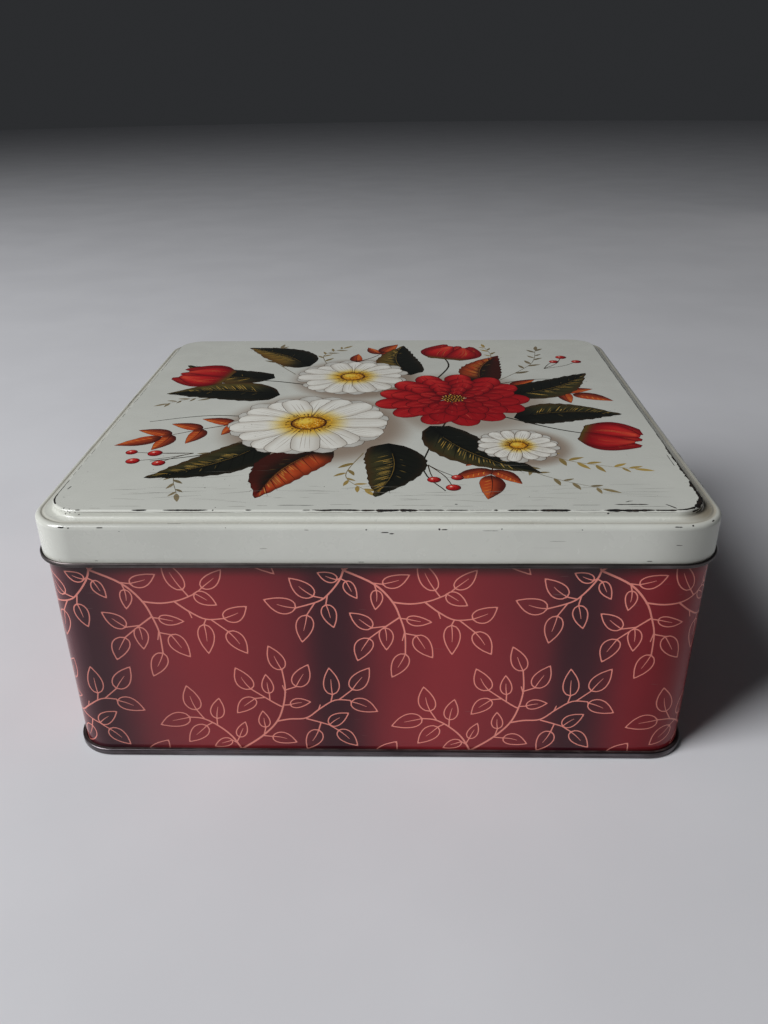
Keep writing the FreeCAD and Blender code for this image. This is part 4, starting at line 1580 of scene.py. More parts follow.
BARE = 2.2      # unprinted margin beside the lock seam's groove
low_cut, high_cut = s_first + BARE, s_last - 0.6
kept = []
for pts, colour in wall_print.shapes:
    lo, hi = min(p[0] for p in pts), max(p[0] for p in pts)
    if hi <= low_cut or lo >= high_cut:
        continue
    if lo < low_cut:
        pts = clip(pts, 0, low_cut, True)
    if hi > high_cut:
        pts = clip(pts, 0, high_cut, False)
    # nothing of the print reaches the strip's lower or upper edge
    if pts and min(p[1] for p in pts) < WALL_LOW + 0.4:
        pts = clip(pts, 1, WALL_LOW + 0.4, True)
    if pts and max(p[1] for p in pts) > WALL_HIGH - 0.4:
        pts = clip(pts, 1, WALL_HIGH - 0.4, False)
    if len(pts) >= 3:
        kept.append((pts, colour))
wall_print.shapes = kept
TIN_GREY = (150, 150, 148)
wall_print.add([(s_first, WALL_LOW), (low_cut, WALL_LOW),
                (low_cut, WALL_HIGH), (s_first, WALL_HIGH)],
               lambda s, z: TIN_GREY)

# stations along the wall: close together round the corners
wall_s = [s_first, low_cut]
marks = []
acc = side_x / 2 + GROOVE_AT
for ln in (side_y, side_x, side_y, 0.0):
    marks.append((acc, acc + arc_w))
    acc += arc_w + ln
span = low_cut
edges = []
for a, b in marks:
    n = max(int((a - span) / 4.0), 1)
    wall_s += [lerp(span, a, k / n) for k in range(1, n + 1)]
    wall_s += [lerp(a, b, k / 16) for k in range(1, 17)]
    span = b
n = max(int((s_last - span) / 4.0), 1)
wall_s += [lerp(span, s_last, k / n) for k in range(1, n + 1)]
thirds = [min(range(len(wall_s)), key=lambda i: abs(wall_s[i] - WALL_P * k / 3))
          for k in (1, 2)]
upright = [i for i, s in enumerate(wall_s)
           if any(a - 1e-6 <= s <= b + 1e-6 for a, b in marks) or i in thirds]
side_z = [lerp(WALL_LOW, WALL_HIGH, k / 24) for k in range(25)]
border = [(s, WALL_LOW) for s in wall_s]
n_low = len(border)
border += [(s_last, z) for z in side_z[1:-1]]
first_high = len(border)
border += [(s, WALL_HIGH) for s in wall_s[::-1]]
first_left = len(border)
border += [(s_first, z) for z in side_z[1:-1][::-1]]
for i in upright:
    edges.append(((wall_s[i], WALL_LOW), (wall_s[i], WALL_HIGH)))
fill_points = []
for a in range(int(WALL_P / 3.1)):
    for b in range(1, 26):
        s = s_first + 3 + a * 3.1 + (1.5 if b % 2 else 0.0)
        z = WALL_LOW + b * 4.0
        if s < s_last - 3 and z < WALL_HIGH - 1.5:
            fill_points.append((s, z))
v2, own, tris, cols = wall_print.triangulate(border, edges, fill_points, ombre)

wall = Shell()


def wall_wave(s, z):
    """Slight bulge and unevenness of the thin wall between its stiff edges."""
    k = math.sin(PI * clamp((z - 4) / 100.0))
    inside = 1.0
    for a, b in marks:
        if a - 14 < s < b + 14:
            inside = min(inside, smooth(0, 14, max(a - s, s - b, 0)))
    return k * inside * (0.22 * waves(s, z, 70, 21) + 0.07 * waves(s, z, 28, 22))


def wall_point(s, z, off=0.0):
    w = wall_wave(s, z)
    (x, y), o = wall_at(s - GROOVE_AT, off + w)
    return (x, y, z)


TURN_AT = side_x * 1.5 + side_y + arc_w * 2.5     # corner at the front right


def wall_out(s):
    """Outward direction, turning gradually into the corner at the front right."""
    o = wall_at(s)[1]
    near = smooth(54.0, 42.0, abs(s - TURN_AT))
    if near <= 0.0:
        return o
    total = Vector((0.0, 0.0))
    for k in range(-16, 17):
        total += Vector(wall_at(s + 18.0 * k / 16.0)[1])
    out = Vector(o).lerp(total.normalized(), near).normalized()
    return (out.x, out.y)


def wall_normal(s, z):
    e = 1.5
    o = wall_out(s - GROOVE_AT)
    gs = (wall_wave(s + e, z) - wall_wave(s - e, z)) / (2 * e)
    gz = (wall_wave(s, z + e) - wall_wave(s, z - e)) / (2 * e)
    t = (-o[1], o[0])
    return (o[0] - gs * t[0], o[1] - gs * t[1], -gz)


row_w = WALL_P / 3
cut_a, cut_b = wall_s[thirds[0]], wall_s[thirds[1]]


def bake_wall(s, z, mid):
    row = 0 if mid < cut_a else 1 if mid < cut_b else 2
    start = (0.0, cut_a, cut_b)[row]
    k = 0.94 / (row_w + 4)
    return (0.01 + (s - start) * k, 0.01 + row * 0.322 + (z - WALL_LOW) * k)


wall_ids = [wall.vert(wall_point(p.x, p.y)) for p in v2]
place = {}
for i, k in enumerate(own):
    if 0 <= k < len(border):
        place[k] = wall_ids[i]
wall_normals = [wall_normal(p.x, p.y) for p in v2]
for tri, col in zip(tris, cols):
    mid = sum(v2[i].x for i in tri) / 3
    wall.face([wall_ids[i] for i in tri], 0,
              [wall_normals[i] for i in tri], col,
              [(v2[i].x * MM, v2[i].y * MM) for i in tri],
              [bake_wall(v2[i].x, v2[i].y, mid) for i in tri])
low_ids = [place[i] for i in range(n_low)]
high_ids = [place[first_high + i] for i in range(len(wall_s))][::-1]
left_ids = [low_ids[0]] + [place[first_left + i]
                           for i in range(len(side_z) - 2)][::-1] + [high_ids[0]]
right_ids = [low_ids[-1]] + [place[n_low + i]
                             for i in range(len(side_z) - 2)] + [high_ids[-1]]

# the groove between the two hooked ends, open to the outside
groove_path = [(0.10, -0.06, 0.7, 0.7), (0.26, -0.30, 0.95, 0.3),
               (0.27, -0.95, 1.0, 0.0), (-0.27, -0.95, -1.0, 0.0),
               (-0.26, -0.30, -0.95, 0.3), (-0.10, -0.06, -0.7, 0.7)]
lips = []
for ds, off, ns, no in groove_path:
    s_lip = (s_last + GROOVE - GROOVE) if ds > 0 else s_first
    base_s = WALL_P - GROOVE if ds > 0 else GROOVE
    s_here = base_s + (0.45 - 0.27 if abs(ds) > 0.2 else 0.07) * (1 if ds > 0 else -1)
    lips.append([wall.vert(wall_point(s_here, z, off)) for z in side_z])
columns = [right_ids] + lips + [left_ids]
(gx, gy), go = wall_at(-GROOVE_AT)
gt = (-go[1], go[0])
col_normals = [(0.25, 0.97)] + [(-n[2] if False else n[2], n[3]) for n in groove_path] + [(-0.25, 0.97)]
for c in range(len(columns) - 1):
    a, b = columns[c], columns[c + 1]
    for k in range(len(side_z) - 1):
        quad = (a[k], b[k], b[k + 1], a[k + 1])
        nrm = []
        for side in (c, c + 1, c + 1, c):
            ns, no = col_normals[side]
            nrm.append((gt[0] * ns + go[0] * no, gt[1] * ns + go[1] * no, 0.0))
        flat = c == 3
        if flat:
            nrm = [(go[0], go[1], 0.0)] * 4
        wall.face(quad, 1, nrm, [linear(TIN_GREY)] * 4,
                  [(0.0, side_z[k] * MM)] * 4, [(0.97 + 0.002 * c, 0.01 + k * .03)] * 4)

# the curled edge, the inner face with the lock seam's layers, and the foot
curl = Profile(0.0, WALL_HIGH)
curl.arc(CURL, WALL_HIGH, CURL, 180, -120, 20, "curl")
curl.line(CURL + (CURL - PLATE) * math.cos(math.radians(-120)),
          WALL_HIGH + (CURL - PLATE) * math.sin(math.radians(-120)), "curl")
curl.arc(CURL, WALL_HIGH, CURL - PLATE, -120, 180, 12, "curl", convex=False)
n_down = 14
curl.line(PLATE, WALL_LOW, "inner", n_down)
curl.line(0.0, WALL_LOW, "inner", 1)


def lock_depth(s, z):
    """How far the lock seam's layers stand inwards."""
    if z < 4.4 or z > 102.4:
        return 0.0
    d = min(s, WALL_P - s)
    left_side = s < WALL_P / 2
    reach = 0.9 if left_side else 4.3
    return 1.06 * smooth(reach + 0.25, reach, d)


extra = [0.15, 0.5, 0.9, 1.2]
inner_s = wall_s
rows = []
for i, s in enumerate(inner_s):
    row = [high_ids[i]]
    for j, (u, z) in enumerate(curl.points[1:-1], start=1):
        tag = curl.tags[min(j, len(curl.tags) - 1)]
        off = -u - (lock_depth(s, z) if tag == "inner" and j > 34 else 0.0)
        k = 1.0 if u < 0.6 else 0.6
        (x, y), o = wall_at(s - GROOVE_AT, off + wall_wave(s, z))
        row.append(wall.vert((x, y, z)))
    row.append(low_ids[i])
    rows.append(row)
curl_len = curl.lengths()
for i in range(len(inner_s) - 1 + 1):
    closing = i == len(inner_s) - 1
    i2 = 0 if closing else i + 1
    for j in range(len(curl.points) - 1):
        # this path runs up and over, so the surface is on its left
        quad = (rows[i][j], rows[i2][j], rows[i2][j + 1], rows[i][j + 1])
        na, nb = curl.normals[j]
        turn = -1.0 if na == nb else 1.0
        nrm = []
        for ii, nn in ((i, na), (i2, na), (i2, nb), (i, nb)):
            (x, y), o = wall_at(inner_s[ii] - GROOVE_AT)
            nrm.append((-turn * nn[0] * o[0], -turn * nn[0] * o[1], turn * nn[1]))
        sa = inner_s[i]
        sb = WALL_P + GROOVE if closing else inner_s[i2]
        wall.face(quad, 1 if curl.tags[j] == "curl" else 2, nrm,
                  [linear(TIN_GREY)] * 4,
                  [(sa * MM, curl_len[j] * MM), (sb * MM, curl_len[j] * MM),
                   (sb * MM, curl_len[j + 1] * MM), (sa * MM, curl_len[j + 1] * MM)],
                  [(0.01 + 0.94 * ss / (WALL_P + 1), 0.975 + 0.02 * jj / len(curl.tags))
                   for ss, jj in ((sa, j), (sb, j), (sb, j + 1), (sa, j + 1))])

# the groove's two ends
for ends, nz in (([c[-1] for c in columns], -1.0),
                 ([c[0] for c in reversed(columns)], 1.0)):
    wall.face(ends, 1, [(0.0, 0.0, nz)] * len(ends),
              [linear(TIN_GREY)] * len(ends), [(0.0, 0.0)] * len(ends),
              [(0.985 + 0.0005 * k, 0.9 + 0.001 * (k % 2)) for k in range(len(ends))])


# ------------------------------------------------------------------ base mesh
base = Shell()
chuck = PLATE + SEAM_GAP                 # inwards from the wall's outer face
rim = Profile(chuck + 8.0, BASE_Z)
rim.line(chuck + 1.0, BASE_Z, "floor", 2)
rim.arc(chuck + 1.0, BASE_Z - 1.0, 1.0, 90, 180, 5, "floor")
rim.line(chuck, PLATE, "seam")
rim.line(-SEAM_OUT + SEAM_R, PLATE, "seam")
rim.line(-SEAM_OUT + PLATE, SEAM_R, "seam")
rim.line(-SEAM_OUT + PLATE, SEAM_H - SEAM_R, "seam")
rim.line(-SEAM_OUT + SEAM_R, SEAM_H - PLATE, "seam")
rim.line(-SEAM_GAP - PLATE, SEAM_H - PLATE, "seam")
rim.line(-SEAM_GAP - PLATE, 2 * PLATE + SEAM_GAP, "seam")
rim.line(-SEAM_GAP, 2 * PLATE + SEAM_GAP, "seam")
rim.line(-SEAM_GAP, SEAM_H - 0.25, "seam")
# the seam's top under the wall's foot: dark soiling, partly painted shade
rim.arc(-SEAM_GAP - 0.25, SEAM_H - 0.25, 0.25, 0, 90, 4, "seam_top_soiling_and_shade")
rim.line(-SEAM_OUT + SEAM_R, SEAM_H, "seam_top_soiling_and_shade")
rim.arc(-SEAM_OUT + SEAM_R, SEAM_H - SEAM_R, SEAM_R, 90, 180, 8, "seam")
rim.line(-SEAM_OUT, SEAM_R, "seam", 2)
rim.arc(-SEAM_OUT + SEAM_R, SEAM_R, SEAM_R, 180, 270, 8, "seam")
rim.line(chuck + PLATE - 0.2, 0.0, "seam")
rim.arc(chuck + PLATE - 0.2, 0.2, 0.2, 270, 360, 4, "seam")
rim.line(chuck + PLATE, BASE_Z - PLATE - 0.7, "under")
rim.arc(chuck + PLATE + 0.7, BASE_Z - PLATE - 0.7, 0.7, 180, 90, 5, "under",
        convex=False)
rim.line(chuck + 8.0, BASE_Z - PLATE, "under", 2)
stations = loop_stations(14, 40, 36)
base_s = loop_length(stations, WX, WY, WR)
rim_len = rim.lengths()


def floor_wave(x, y):
    edge = min(WX - 12 - abs(x), WY - 12 - abs(y))
    return smooth(0, 24, edge) * (0.14 * waves(x, y, 55, 31) + 0.10)


ids = []
for i, st in enumerate(stations):
    row = []
    for j, (u, z) in enumerate(rim.points):
        (x, y), o = loop_point(st, WX - u, WY - u, WR - u)
        w = 0.0
        if rim.tags[min(j, len(rim.tags) - 1)] in ("seam", "seam_top_soiling_and_shade") and u < -0.3:
            w = 0.09 * waves(base_s[i], 0, 30, 33)
        row.append(base.vert((x + o[0] * w, y + o[1] * w, z)))
    ids.append(row)
for i in range(len(stations)):
    i2 = (i + 1) % len(stations)
    for j in range(len(rim.points) - 1):
        quad = (ids[i][j], ids[i][j + 1], ids[i2][j + 1], ids[i2][j])
        na, nb = rim.normals[j]
        nrm = []
        for ii, nn in ((i, na), (i, nb), (i2, nb), (i2, na)):
            (x, y), o = loop_point(stations[ii], WX, WY, WR)
            nrm.append((-nn[0] * o[0], -nn[0] * o[1], nn[1]))
        tag = rim.tags[j]
        s0, s1 = base_s[i] * MM, base_s[i + 1] * MM
        bake = []
        for ii, jj in ((i, j), (i, j + 1), (i2, j + 1), (i2, j)):
            (x, y), o = loop_point(stations[ii], WX - rim.points[jj][0],
                                   WY - rim.points[jj][0],
                                   WR - rim.points[jj][0])
            if tag == "floor":
                bake.append((0.01 + (x + 126) * 0.0019, 0.01 + (y + 126) * 0.0019))
            elif tag == "under":
                bake.append((0.50 + (x + 126) * 0.0019, 0.01 + (y + 126) * 0.0019))
            else:
                s = base_s[i] if ii == i else base_s[i + 1]
                bake.append((0.01 + 0.98 * s / base_s[-1],
                             0.5 + 0.45 * rim_len[jj] / rim_len[-1]))
        base.face(quad, {"floor": 0, "seam": 1, "under": 2, "seam_top_soiling_and_shade": 3}[tag], nrm,
                  [linear(TIN_GREY)] * 4,
                  [(s0, rim_len[j] * MM), (s0, rim_len[j + 1] * MM),
                   (s1, rim_len[j + 1] * MM), (s1, rim_len[j] * MM)], bake)
border = []
inner_u = chuck + 8.0
for st in stations:
    (x, y), o = loop_point(st, WX - inner_u, WY - inner_u, WR - inner_u)
    border.append((x, y))
coarse = [(a * 8.0, b * 8.0) for a in range(-14, 15) for b in range(-13, 14)
          if abs(a * 8.0) < WX - inner_u - 4 and abs(b * 8.0) < WY - inner_u - 4]
for top in (True, False):
    v2, own, tris, cols = plain.triangulate(border, [], coarse,
                                            lambda x, y: TIN_GREY)
    z = BASE_Z if top else BASE_Z - PLATE
    last = 0 if top else len(rim.points) - 1
    vid = []
    for p, k in zip(v2, own):
        vid.append(ids[k][last] if 0 <= k < len(border) else
                   base.vert((p.x, p.y, z + floor_wave(p.x, p.y))))
    for tri, col in zip(tris, cols):
        t = tri if top else tri[::-1]
        off = 0.01 if top else 0.50
        base.face([vid[i] for i in t], 0 if top else 2,
                  [(0, 0, 1 if top else -1)] * 3, col,
                  [(v2[i].x * MM, v2[i].y * MM) for i in t],
                  [(off + (v2[i].x + 126) * 0.0019,
                    0.01 + (v2[i].y + 126) * 0.0019) for i in t])


# ------------------------------------------------------------------ materials
class Nodes:
    """Short hand for a material's node tree."""

    def __init__(self, name):
        self.mat = bpy.data.materials.new(name)
        self.mat.use_nodes = True
        self.tree = self.mat.node_tree
        self.tree.nodes.clear()
        self.out = self.tree.nodes.new("ShaderNodeOutputMaterial")
        self.bsdf = self.tree.nodes.new("ShaderNodeBsdfPrincipled")
        self.link(self.bsdf.outputs[0], self.out.inputs[0])

    def link(self, a, b):
        self.tree.links.new(a, b)

    def put(self, value, socket):
        if hasattr(value, "links"):
            self.link(value, socket)
        else:
            socket.default_value = value

    def node(self, kind, **settings):
        n = self.tree.nodes.new(kind)
        for k, v in settings.items():
            setattr(n, k, v)
        return n

    def math(self, op, a, b=0.0, c=None, clamped=False):
        n = self.node("ShaderNodeMath", operation=op)
        n.use_clamp = clamped
        self.put(a, n.inputs[0])
        self.put(b, n.inputs[1])
        if c is not None:
            self.put(c, n.inputs[2])
        return n.outputs[0]

    def ramp(self, x, a, b, c=0.0, d=1.0, soft=True):
        n = self.node("ShaderNodeMapRange")
        n.interpolation_type = "SMOOTHSTEP" if soft else "LINEAR"
        n.clamp = True
        self.put(x, n.inputs["Value"])
        for key, val in (("From Min", a), ("From Max", b), ("To Min", c),
                         ("To Max", d)):
            self.put(val, n.inputs[key])
        return n.outputs["Result"]

    def blend(self, t, a, b, mode="MIX"):
        n = self.node("ShaderNodeMix", data_type="RGBA", blend_type=mode)
        n.clamp_factor = True
        self.put(t, n.inputs[0])
        self.put(a, n.inputs[6])
        self.put(b, n.inputs[7])
        return n.outputs[2]

    def blend_value(self, t, a, b):
        n = self.node("ShaderNodeMix", data_type="FLOAT")
        n.clamp_factor = True
        self.put(t, n.inputs[0])
        self.put(a, n.inputs[2])
        self.put(b, n.inputs[3])
        return n.outputs[0]

    def noise(self, vector, scale, detail=3.0, rough=0.5, dims="3D"):
        n = self.node("ShaderNodeTexNoise", noise_dimensions=dims)
        self.link(vector, n.inputs["Vector"])
        n.inputs["Scale"].default_value = scale
        n.inputs["Detail"].default_value = detail
        n.inputs["Roughness"].default_value = rough
        return n.outputs["Fac"]

    def scaled(self, vector, scale, move=(0, 0, 0)):
        n = self.node("ShaderNodeMapping")
        self.link(vector, n.inputs["Vector"])
        n.inputs["Scale"].default_value = scale
        n.inputs["Location"].default_value = move
        return n.outputs["Vector"]

    def place(self):
        return self.node("ShaderNodeTexCoord").outputs["Object"]

    def map(self, name):
        return self.node("ShaderNodeUVMap", uv_map=name).outputs["UV"]

    def split(self, vector):
        n = self.node("ShaderNodeSeparateXYZ")
        self.link(vector, n.inputs[0])
        return n.outputs

    def attribute(self, name):
        return self.node("ShaderNodeAttribute", attribute_name=name)

    def bump(self, height, strength, distance):
        n = self.node("ShaderNodeBump")
        n.inputs["Strength"].default_value = strength
        n.inputs["Distance"].default_value = distance
        self.link(height, n.inputs["Height"])
        self.link(n.outputs[0], self.bsdf.inputs["Normal"])


def enamel_material():
    m = Nodes("lid_enamel")
    at = m.place()
    ink = m.attribute("print").outputs["Color"]
    # ageing of the cream
    cloud = m.noise(at, 14.0, 4.0)
    fine = m.noise(at, 160.0, 5.0, 0.6)
    tone = m.ramp(cloud, 0.3, 0.7, 0.965, 1.025)
    tone = m.math("MULTIPLY", tone, m.ramp(fine, 0.3, 0.75, 0.985, 1.01))
    grey = m.node("ShaderNodeCombineColor")
    for k in range(3):
        m.link(tone, grey.inputs[k])
    ink = m.blend(1.0, ink, grey.outputs[0], "MULTIPLY")
    ink = m.blend(m.ramp(m.noise(at, 7.0, 2.0), 0.5, 0.75, 0.0, 0.10), ink,
                  (0.66, 0.58, 0.42, 1), "MULTIPLY")
    # small specks in the coating, and hair-fine scratches
    specks = m.ramp(m.noise(at, 620.0, 2.0, 0.5), 0.775, 0.80, 0.0, 0.6)
    hair = m.noise(m.scaled(at, (60, 1500, 1500), (1.3, 0, 0)), 1.0, 2.0, 0.5)
    hairs = m.ramp(hair, 0.72, 0.76, 0.0, 0.16)
    ink = m.blend(hairs, ink, (0.24, 0.23, 0.20, 1))
    worn = specks
    colour = m.blend(worn, ink, (0.012, 0.010, 0.009, 1))
    m.link(colour, m.bsdf.inputs["Base Color"])
    rough = m.ramp(m.noise(at, 55.0, 4.0, 0.6), 0.25, 0.8, 0.20, 0.34)
    m.link(m.blend_value(worn, rough, 0.62), m.bsdf.inputs["Roughness"])
    m.bsdf.inputs["IOR"].default_value = 1.5
    # handled dull at the corner at the front right
    s, v, _ = m.split(m.map("wear"))
    dulled = m.math("MULTIPLY", m.ramp(s, at_front(80) * MM, at_corner(2, 0.3) * MM),
                    m.ramp(s, at_right(-60) * MM, at_corner(2, 0.9) * MM))
    dulled = m.math("MULTIPLY", dulled, m.ramp(v, 10.0 * MM, 14.0 * MM))
    m.link(m.ramp(dulled, 0.0, 1.0, 0.5, 0.10, soft=False),
           m.bsdf.inputs["Specular IOR Level"])
    m.link(m.ramp(dulled, 0.0, 1.0, 0.25, 0.02, soft=False),
           m.bsdf.inputs["Coat Weight"])
    m.bsdf.inputs["Coat Roughness"].default_value = 0.12
    height = m.math("SUBTRACT",
                    m.math("MULTIPLY", m.noise(at, 900.0, 2.0), 0.06),
                    m.math("MULTIPLY", worn, 0.5))
    m.bump(height, 0.3, 0.00010)
    return m.mat


def chip_material():
    """Darkened steel where the enamel has gone."""
    m = Nodes("worn_edge")
    at = m.place()
    rust = m.ramp(m.noise(at, 900.0, 4.0, 0.6), 0.42, 0.66)
    m.link(m.blend(rust, (0.006, 0.0055, 0.0055, 1), (0.030, 0.019, 0.013, 1)),
           m.bsdf.inputs["Base Color"])
    m.link(m.ramp(m.noise(at, 420.0, 3.0), 0.3, 0.7, 0.55, 0.85),
           m.bsdf.inputs["Roughness"])
    m.bsdf.inputs["Specular IOR Level"].default_value = 0.3
    m.bump(m.noise(at, 1400.0, 3.0), 0.35, 0.00008)
    return m.mat


def soiling_and_shade_material():
    """Dark soiling lying on the seam's top, along the foot of the wall, partly painted shade of the
    groove there.
    """
    m = Nodes("seam_soiling_and_shade")
    at = m.place()
    k = m.ramp(m.noise(at, 210.0, 5.0, 0.65), 0.35, 0.68)
    m.link(m.blend(k, (0.018, 0.010, 0.010, 1), (0.060, 0.042, 0.041, 1)),
           m.bsdf.inputs["Base Color"])
    m.link(m.ramp(m.noise(at, 90.0, 4.0), 0.3, 0.7, 0.42, 0.7),
           m.bsdf.inputs["Roughness"])
    m.bsdf.inputs["Specular IOR Level"].default_value = 0.3
    m.bump(m.noise(at, 1100.0, 3.0), 0.3, 0.00008)
    return m.mat


def print_material():
    m = Nodes("wall_lacquer")
    at = m.place()
    ink = m.attribute("print").outputs["Color"]
    sv = m.map("wear")
    s, z, _ = m.split(sv)
    cloud = m.ramp(m.noise(at, 18.0, 4.0), 0.3, 0.7, 0.93, 1.06)
    grey = m.node("ShaderNodeCombineColor")
    for k in range(3):
        m.link(cloud, grey.inputs[k])
    ink = m.blend(1.0, ink, grey.outputs[0], "MULTIPLY")
    # rubbed lacquer and soiling close to the foot, fine vertical rubbing under
    # the lid's hem, and a dark band just under the hem: painted shade, partly soiling
    foot_soiling_and_hem_shade = m.math("MULTIPLY", m.ramp(z, 4.6 * MM, 3.0 * MM),
                  m.ramp(m.noise(m.scaled(sv, (40, 200, 1)), 1.0, 3.0),
                         0.25, 0.75, 0.1, 0.45))
    # painted shade under the lid's hem, partly soiling: darker between 84 and 91.5 mm up
    hem_shade_and_soiling = m.math("MULTIPLY", m.ramp(z, 84.0 * MM, 88.0 * MM),
                      m.ramp(z, 91.5 * MM, 89.5 * MM))
    hem_shade_and_soiling = m.math("MULTIPLY", hem_shade_and_soiling,
                      m.ramp(m.noise(m.scaled(sv, (30, 60, 1), (0.4, 0, 0)), 1.0, 3.0),
                             0.25, 0.75, 0.4, 0.65))
    foot_soiling_and_hem_shade = m.math("MAXIMUM", foot_soiling_and_hem_shade, hem_shade_and_soiling)
    ink = m.blend(foot_soiling_and_hem_shade, ink, (0.020, 0.014, 0.012, 1))
    rub = m.noise(m.scaled(sv, (900, 22, 1)), 1.0, 3.0, 0.6)
    rubbed = m.math("MULTIPLY", m.ramp(z, 86 * MM, 92 * MM),
                    m.ramp(rub, 0.60, 0.72, 0.0, 0.55))
    ink = m.blend(rubbed, ink, (0.20, 0.16, 0.15, 1))
    hair = m.noise(m.scaled(sv, (70, 1300, 1), (2.2, 0, 0)), 1.0, 2.0, 0.5)
    hairs = m.ramp(hair, 0.735, 0.76, 0.0, 0.35)
    ink = m.blend(hairs, ink, (0.22, 0.13, 0.12, 1))
    specks = m.ramp(m.noise(at, 480.0, 2.0, 0.5), 0.775, 0.80, 0.0, 0.6)
    ink = m.blend(specks, ink, (0.02, 0.014, 0.012, 1))
    # painted shade over the left end of the front: a grey veil that darkens the red and the lines and
    # lightens the dark bands a little
    wall_left_shade = m.math("MULTIPLY", m.ramp(s, (FRONT - 40) * MM, (FRONT - 100) * MM),
                  m.ramp(s, (FRONT - 134) * MM, (FRONT - 118) * MM))
    wall_left_shade = m.math("MULTIPLY", wall_left_shade,
                  m.ramp(m.noise(at, 30.0, 4.0), 0.25, 0.75, 0.16, 0.26))
    ink = m.blend(wall_left_shade, ink, (0.062, 0.038, 0.045, 1))
    m.link(ink, m.bsdf.inputs["Base Color"])
    rough = m.ramp(m.noise(at, 40.0, 5.0, 0.6), 0.25, 0.8, 0.09, 0.18)
    rough = m.math("ADD", rough, m.math("MULTIPLY", rubbed, 0.3))
    m.link(rough, m.bsdf.inputs["Roughness"])
    m.bsdf.inputs["IOR"].default_value = 1.42
    # handled dull at the corner at the front right
    turn = (TURN_AT + GROOVE_AT) * MM
    dulled = m.math("MULTIPLY", m.ramp(s, turn - 0.042, turn - 0.012),
                    m.ramp(s, turn + 0.042, turn + 0.012))
    m.link(m.ramp(dulled, 0.0, 1.0, 0.5, 0.20, soft=False),
           m.bsdf.inputs["Specular IOR Level"])
    m.bump(m.noise(at, 260.0, 3.0), 0.10, 0.00010)
    return m.mat


def steel_material(name, dark, light, rough_lo, rough_hi, along=True,
                   rust=0.2):
    """Bare tinplate, dulled, with rolling streaks along the edge."""
    m = Nodes(name)
    at = m.place()
    sv = m.map("wear")
    streak = m.noise(m.scaled(sv, (30, 2600, 1) if along else (160, 160, 1)),
                     1.0, 4.0, 0.6)
    cloud = m.noise(at, 45.0, 5.0, 0.62)
    tone = m.math("ADD", m.math("MULTIPLY", streak, 0.55),
                  m.math("MULTIPLY", cloud, 0.45))
    colour = m.blend(m.ramp(tone, 0.36, 0.64), dark, light)
    stain = m.ramp(m.noise(at, 130.0, 5.0, 0.7), 0.60, 0.74, 0.0, rust)
    colour = m.blend(stain, colour, (0.085, 0.045, 0.024, 1))
    m.link(colour, m.bsdf.inputs["Base Color"])
    metal = m.ramp(stain, 0.0, 0.6, 1.0, 0.35, soft=False)
    m.link(metal, m.bsdf.inputs["Metallic"])
    rough = m.ramp(tone, 0.3, 0.7, rough_hi, rough_lo)
    m.link(m.math("ADD", rough, m.math("MULTIPLY", stain, 0.4)),
           m.bsdf.inputs["Roughness"])
    m.bump(streak, 0.15, 0.00006)
    return m.mat


enamel = enamel_material()
lacquer = print_material()
worn_edge = chip_material()
seam_top_soiling_and_shade = soiling_and_shade_material()
hem_steel = steel_material("hem_steel", (0.045, 0.037, 0.036, 1),
                           (0.160, 0.139, 0.136, 1), 0.34, 0.50)
rim_tin = steel_material("rim_tinplate", (0.46, 0.455, 0.44, 1),
                         (0.66, 0.655, 0.64, 1), 0.30, 0.48, rust=0.3)
seam_steel = steel_material("seam_steel", (0.052, 0.044, 0.047, 1),
                            (0.170, 0.150, 0.158, 1), 0.24, 0.44, rust=0.35)
inner_tin = steel_material("inner_tinplate", (0.60, 0.595, 0.58, 1),
                           (0.76, 0.755, 0.74, 1), 0.32, 0.50, along=False,
                           rust=0.12)
under_tin = steel_material("under_tinplate", (0.30, 0.295, 0.285, 1),
                           (0.48, 0.475, 0.46, 1), 0.30, 0.52, along=False,
                           rust=0.45)

lid_ob = lid.build("lid_shell", [enamel, hem_steel, inner_tin, worn_edge])
wall_ob = wall.build("wall_shell", [lacquer, rim_tin, inner_tin])
base_ob = base.build("base_shell", [inner_tin, seam_steel, under_tin, seam_top_soiling_and_shade])
for ob, body, node, slot in ((lid_ob, "lid", "lid", "lid_enamel"),
                             (wall_ob, "tin", "body_wall", "wall_print"),
                             (base_ob, "tin", "base_panel", "bare_tinplate")):
    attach(ob, body)
    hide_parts(node)

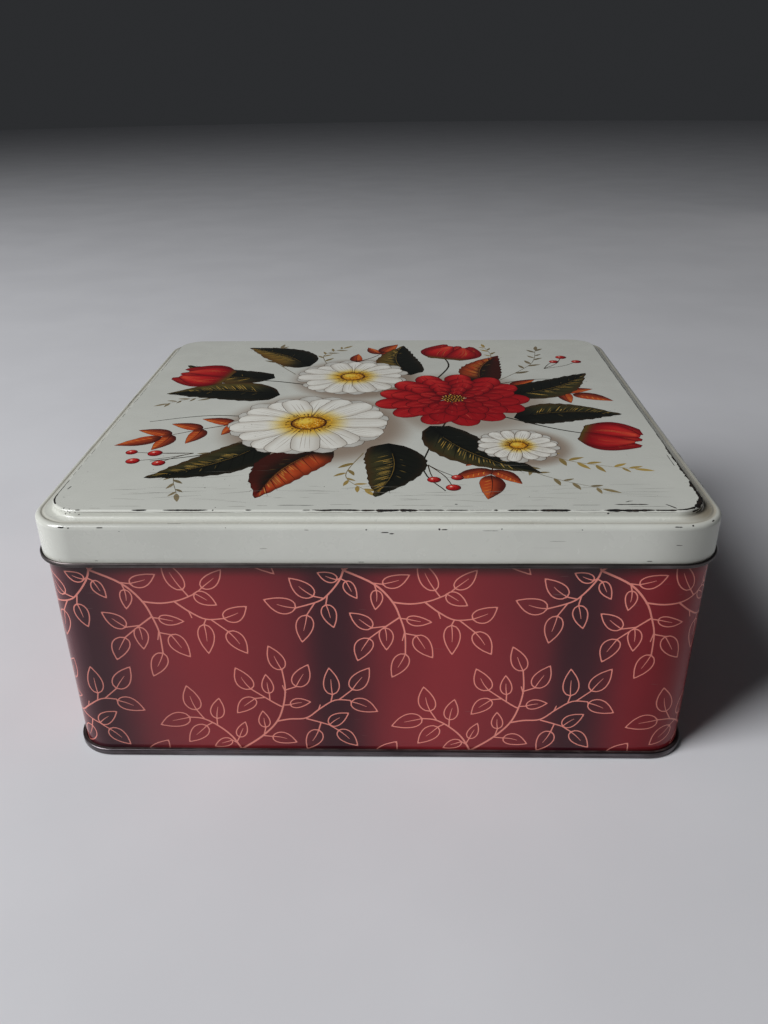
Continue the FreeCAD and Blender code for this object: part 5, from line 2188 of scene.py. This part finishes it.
# ---------------------------------------------------------------------- stage
floor_mesh = bpy.data.meshes.new("floor")
size = 6.0
floor_rim = [(size * math.cos(PI * k / 64), size * math.sin(PI * k / 64), 0)
             for k in range(128)]
floor_mesh.from_pydata(floor_rim, [], [tuple(range(128))])
floor = bpy.data.objects.new("floor", floor_mesh)
scene.collection.objects.link(floor)
paper = Nodes("pale_floor")
paper_at = paper.place()
paper_tone = paper.ramp(paper.noise(paper_at, 9.0, 4.0), 0.3, 0.7)
paper.link(paper.blend(paper_tone, (0.70, 0.70, 0.72, 1), (0.735, 0.735, 0.755, 1)),
           paper.bsdf.inputs["Base Color"])
paper.bsdf.inputs["Roughness"].default_value = 0.75
paper.bsdf.inputs["Specular IOR Level"].default_value = 0.2
floor_mesh.materials.append(paper.mat)
floor.location.z = -0.0002

world = bpy.data.worlds.new("studio")
scene.world = world
world.use_nodes = True
back = world.node_tree.nodes["Background"]
back.inputs["Color"].default_value = (0.62, 0.65, 0.70, 1)
back.inputs["Strength"].default_value = 0.04


def area_light(name, at, aim, size_x, size_y, power, colour):
    data = bpy.data.lights.new(name, "AREA")
    data.shape = "RECTANGLE"
    data.size, data.size_y = size_x, size_y
    data.energy = power
    data.color = colour
    ob = bpy.data.objects.new(name, data)
    scene.collection.objects.link(ob)
    ob.location = at
    ob.rotation_mode = "QUATERNION"
    ob.rotation_quaternion = (Vector(aim) - Vector(at)).to_track_quat("-Z", "Y")
    return ob


area_light("window", (-1.65, -0.915, 1.56), (0, 0, 0.06), 1.05, 1.65, 64.0,
           (0.99, 1.0, 1.02))
area_light("side_fill", (1.15, 0.95, 0.30), (0, 0.02, 0.07), 1.1, 0.4, 0.4,
           (1.0, 0.97, 0.94))

# --------------------------------------------------------------------- camera
yaw, pitch, roll = math.radians(-1.59), math.radians(27.17), math.radians(-0.71)
fwd = Vector((math.sin(yaw) * math.cos(pitch), math.cos(yaw) * math.cos(pitch),
              -math.sin(pitch)))
right = Vector((math.cos(yaw), -math.sin(yaw), 0.0))
up = right.cross(fwd)
r2 = right * math.cos(roll) + up * math.sin(roll)
u2 = up * math.cos(roll) - right * math.sin(roll)
cam_data = bpy.data.cameras.new("camera")
cam_data.sensor_fit = "AUTO"
cam_data.sensor_width = 36.0
cam_data.lens = 837.2 / 1024.0 * 36.0
cam_data.clip_start, cam_data.clip_end = 0.01, 50.0
cam = bpy.data.objects.new("camera", cam_data)
scene.collection.objects.link(cam)
cam.matrix_world = Matrix((
    (r2.x, u2.x, -fwd.x, 0.0108), (r2.y, u2.y, -fwd.y, -0.3737),
    (r2.z, u2.z, -fwd.z, 0.2440), (0, 0, 0, 1)))
scene.camera = cam
scene.view_settings.view_transform = "Standard"
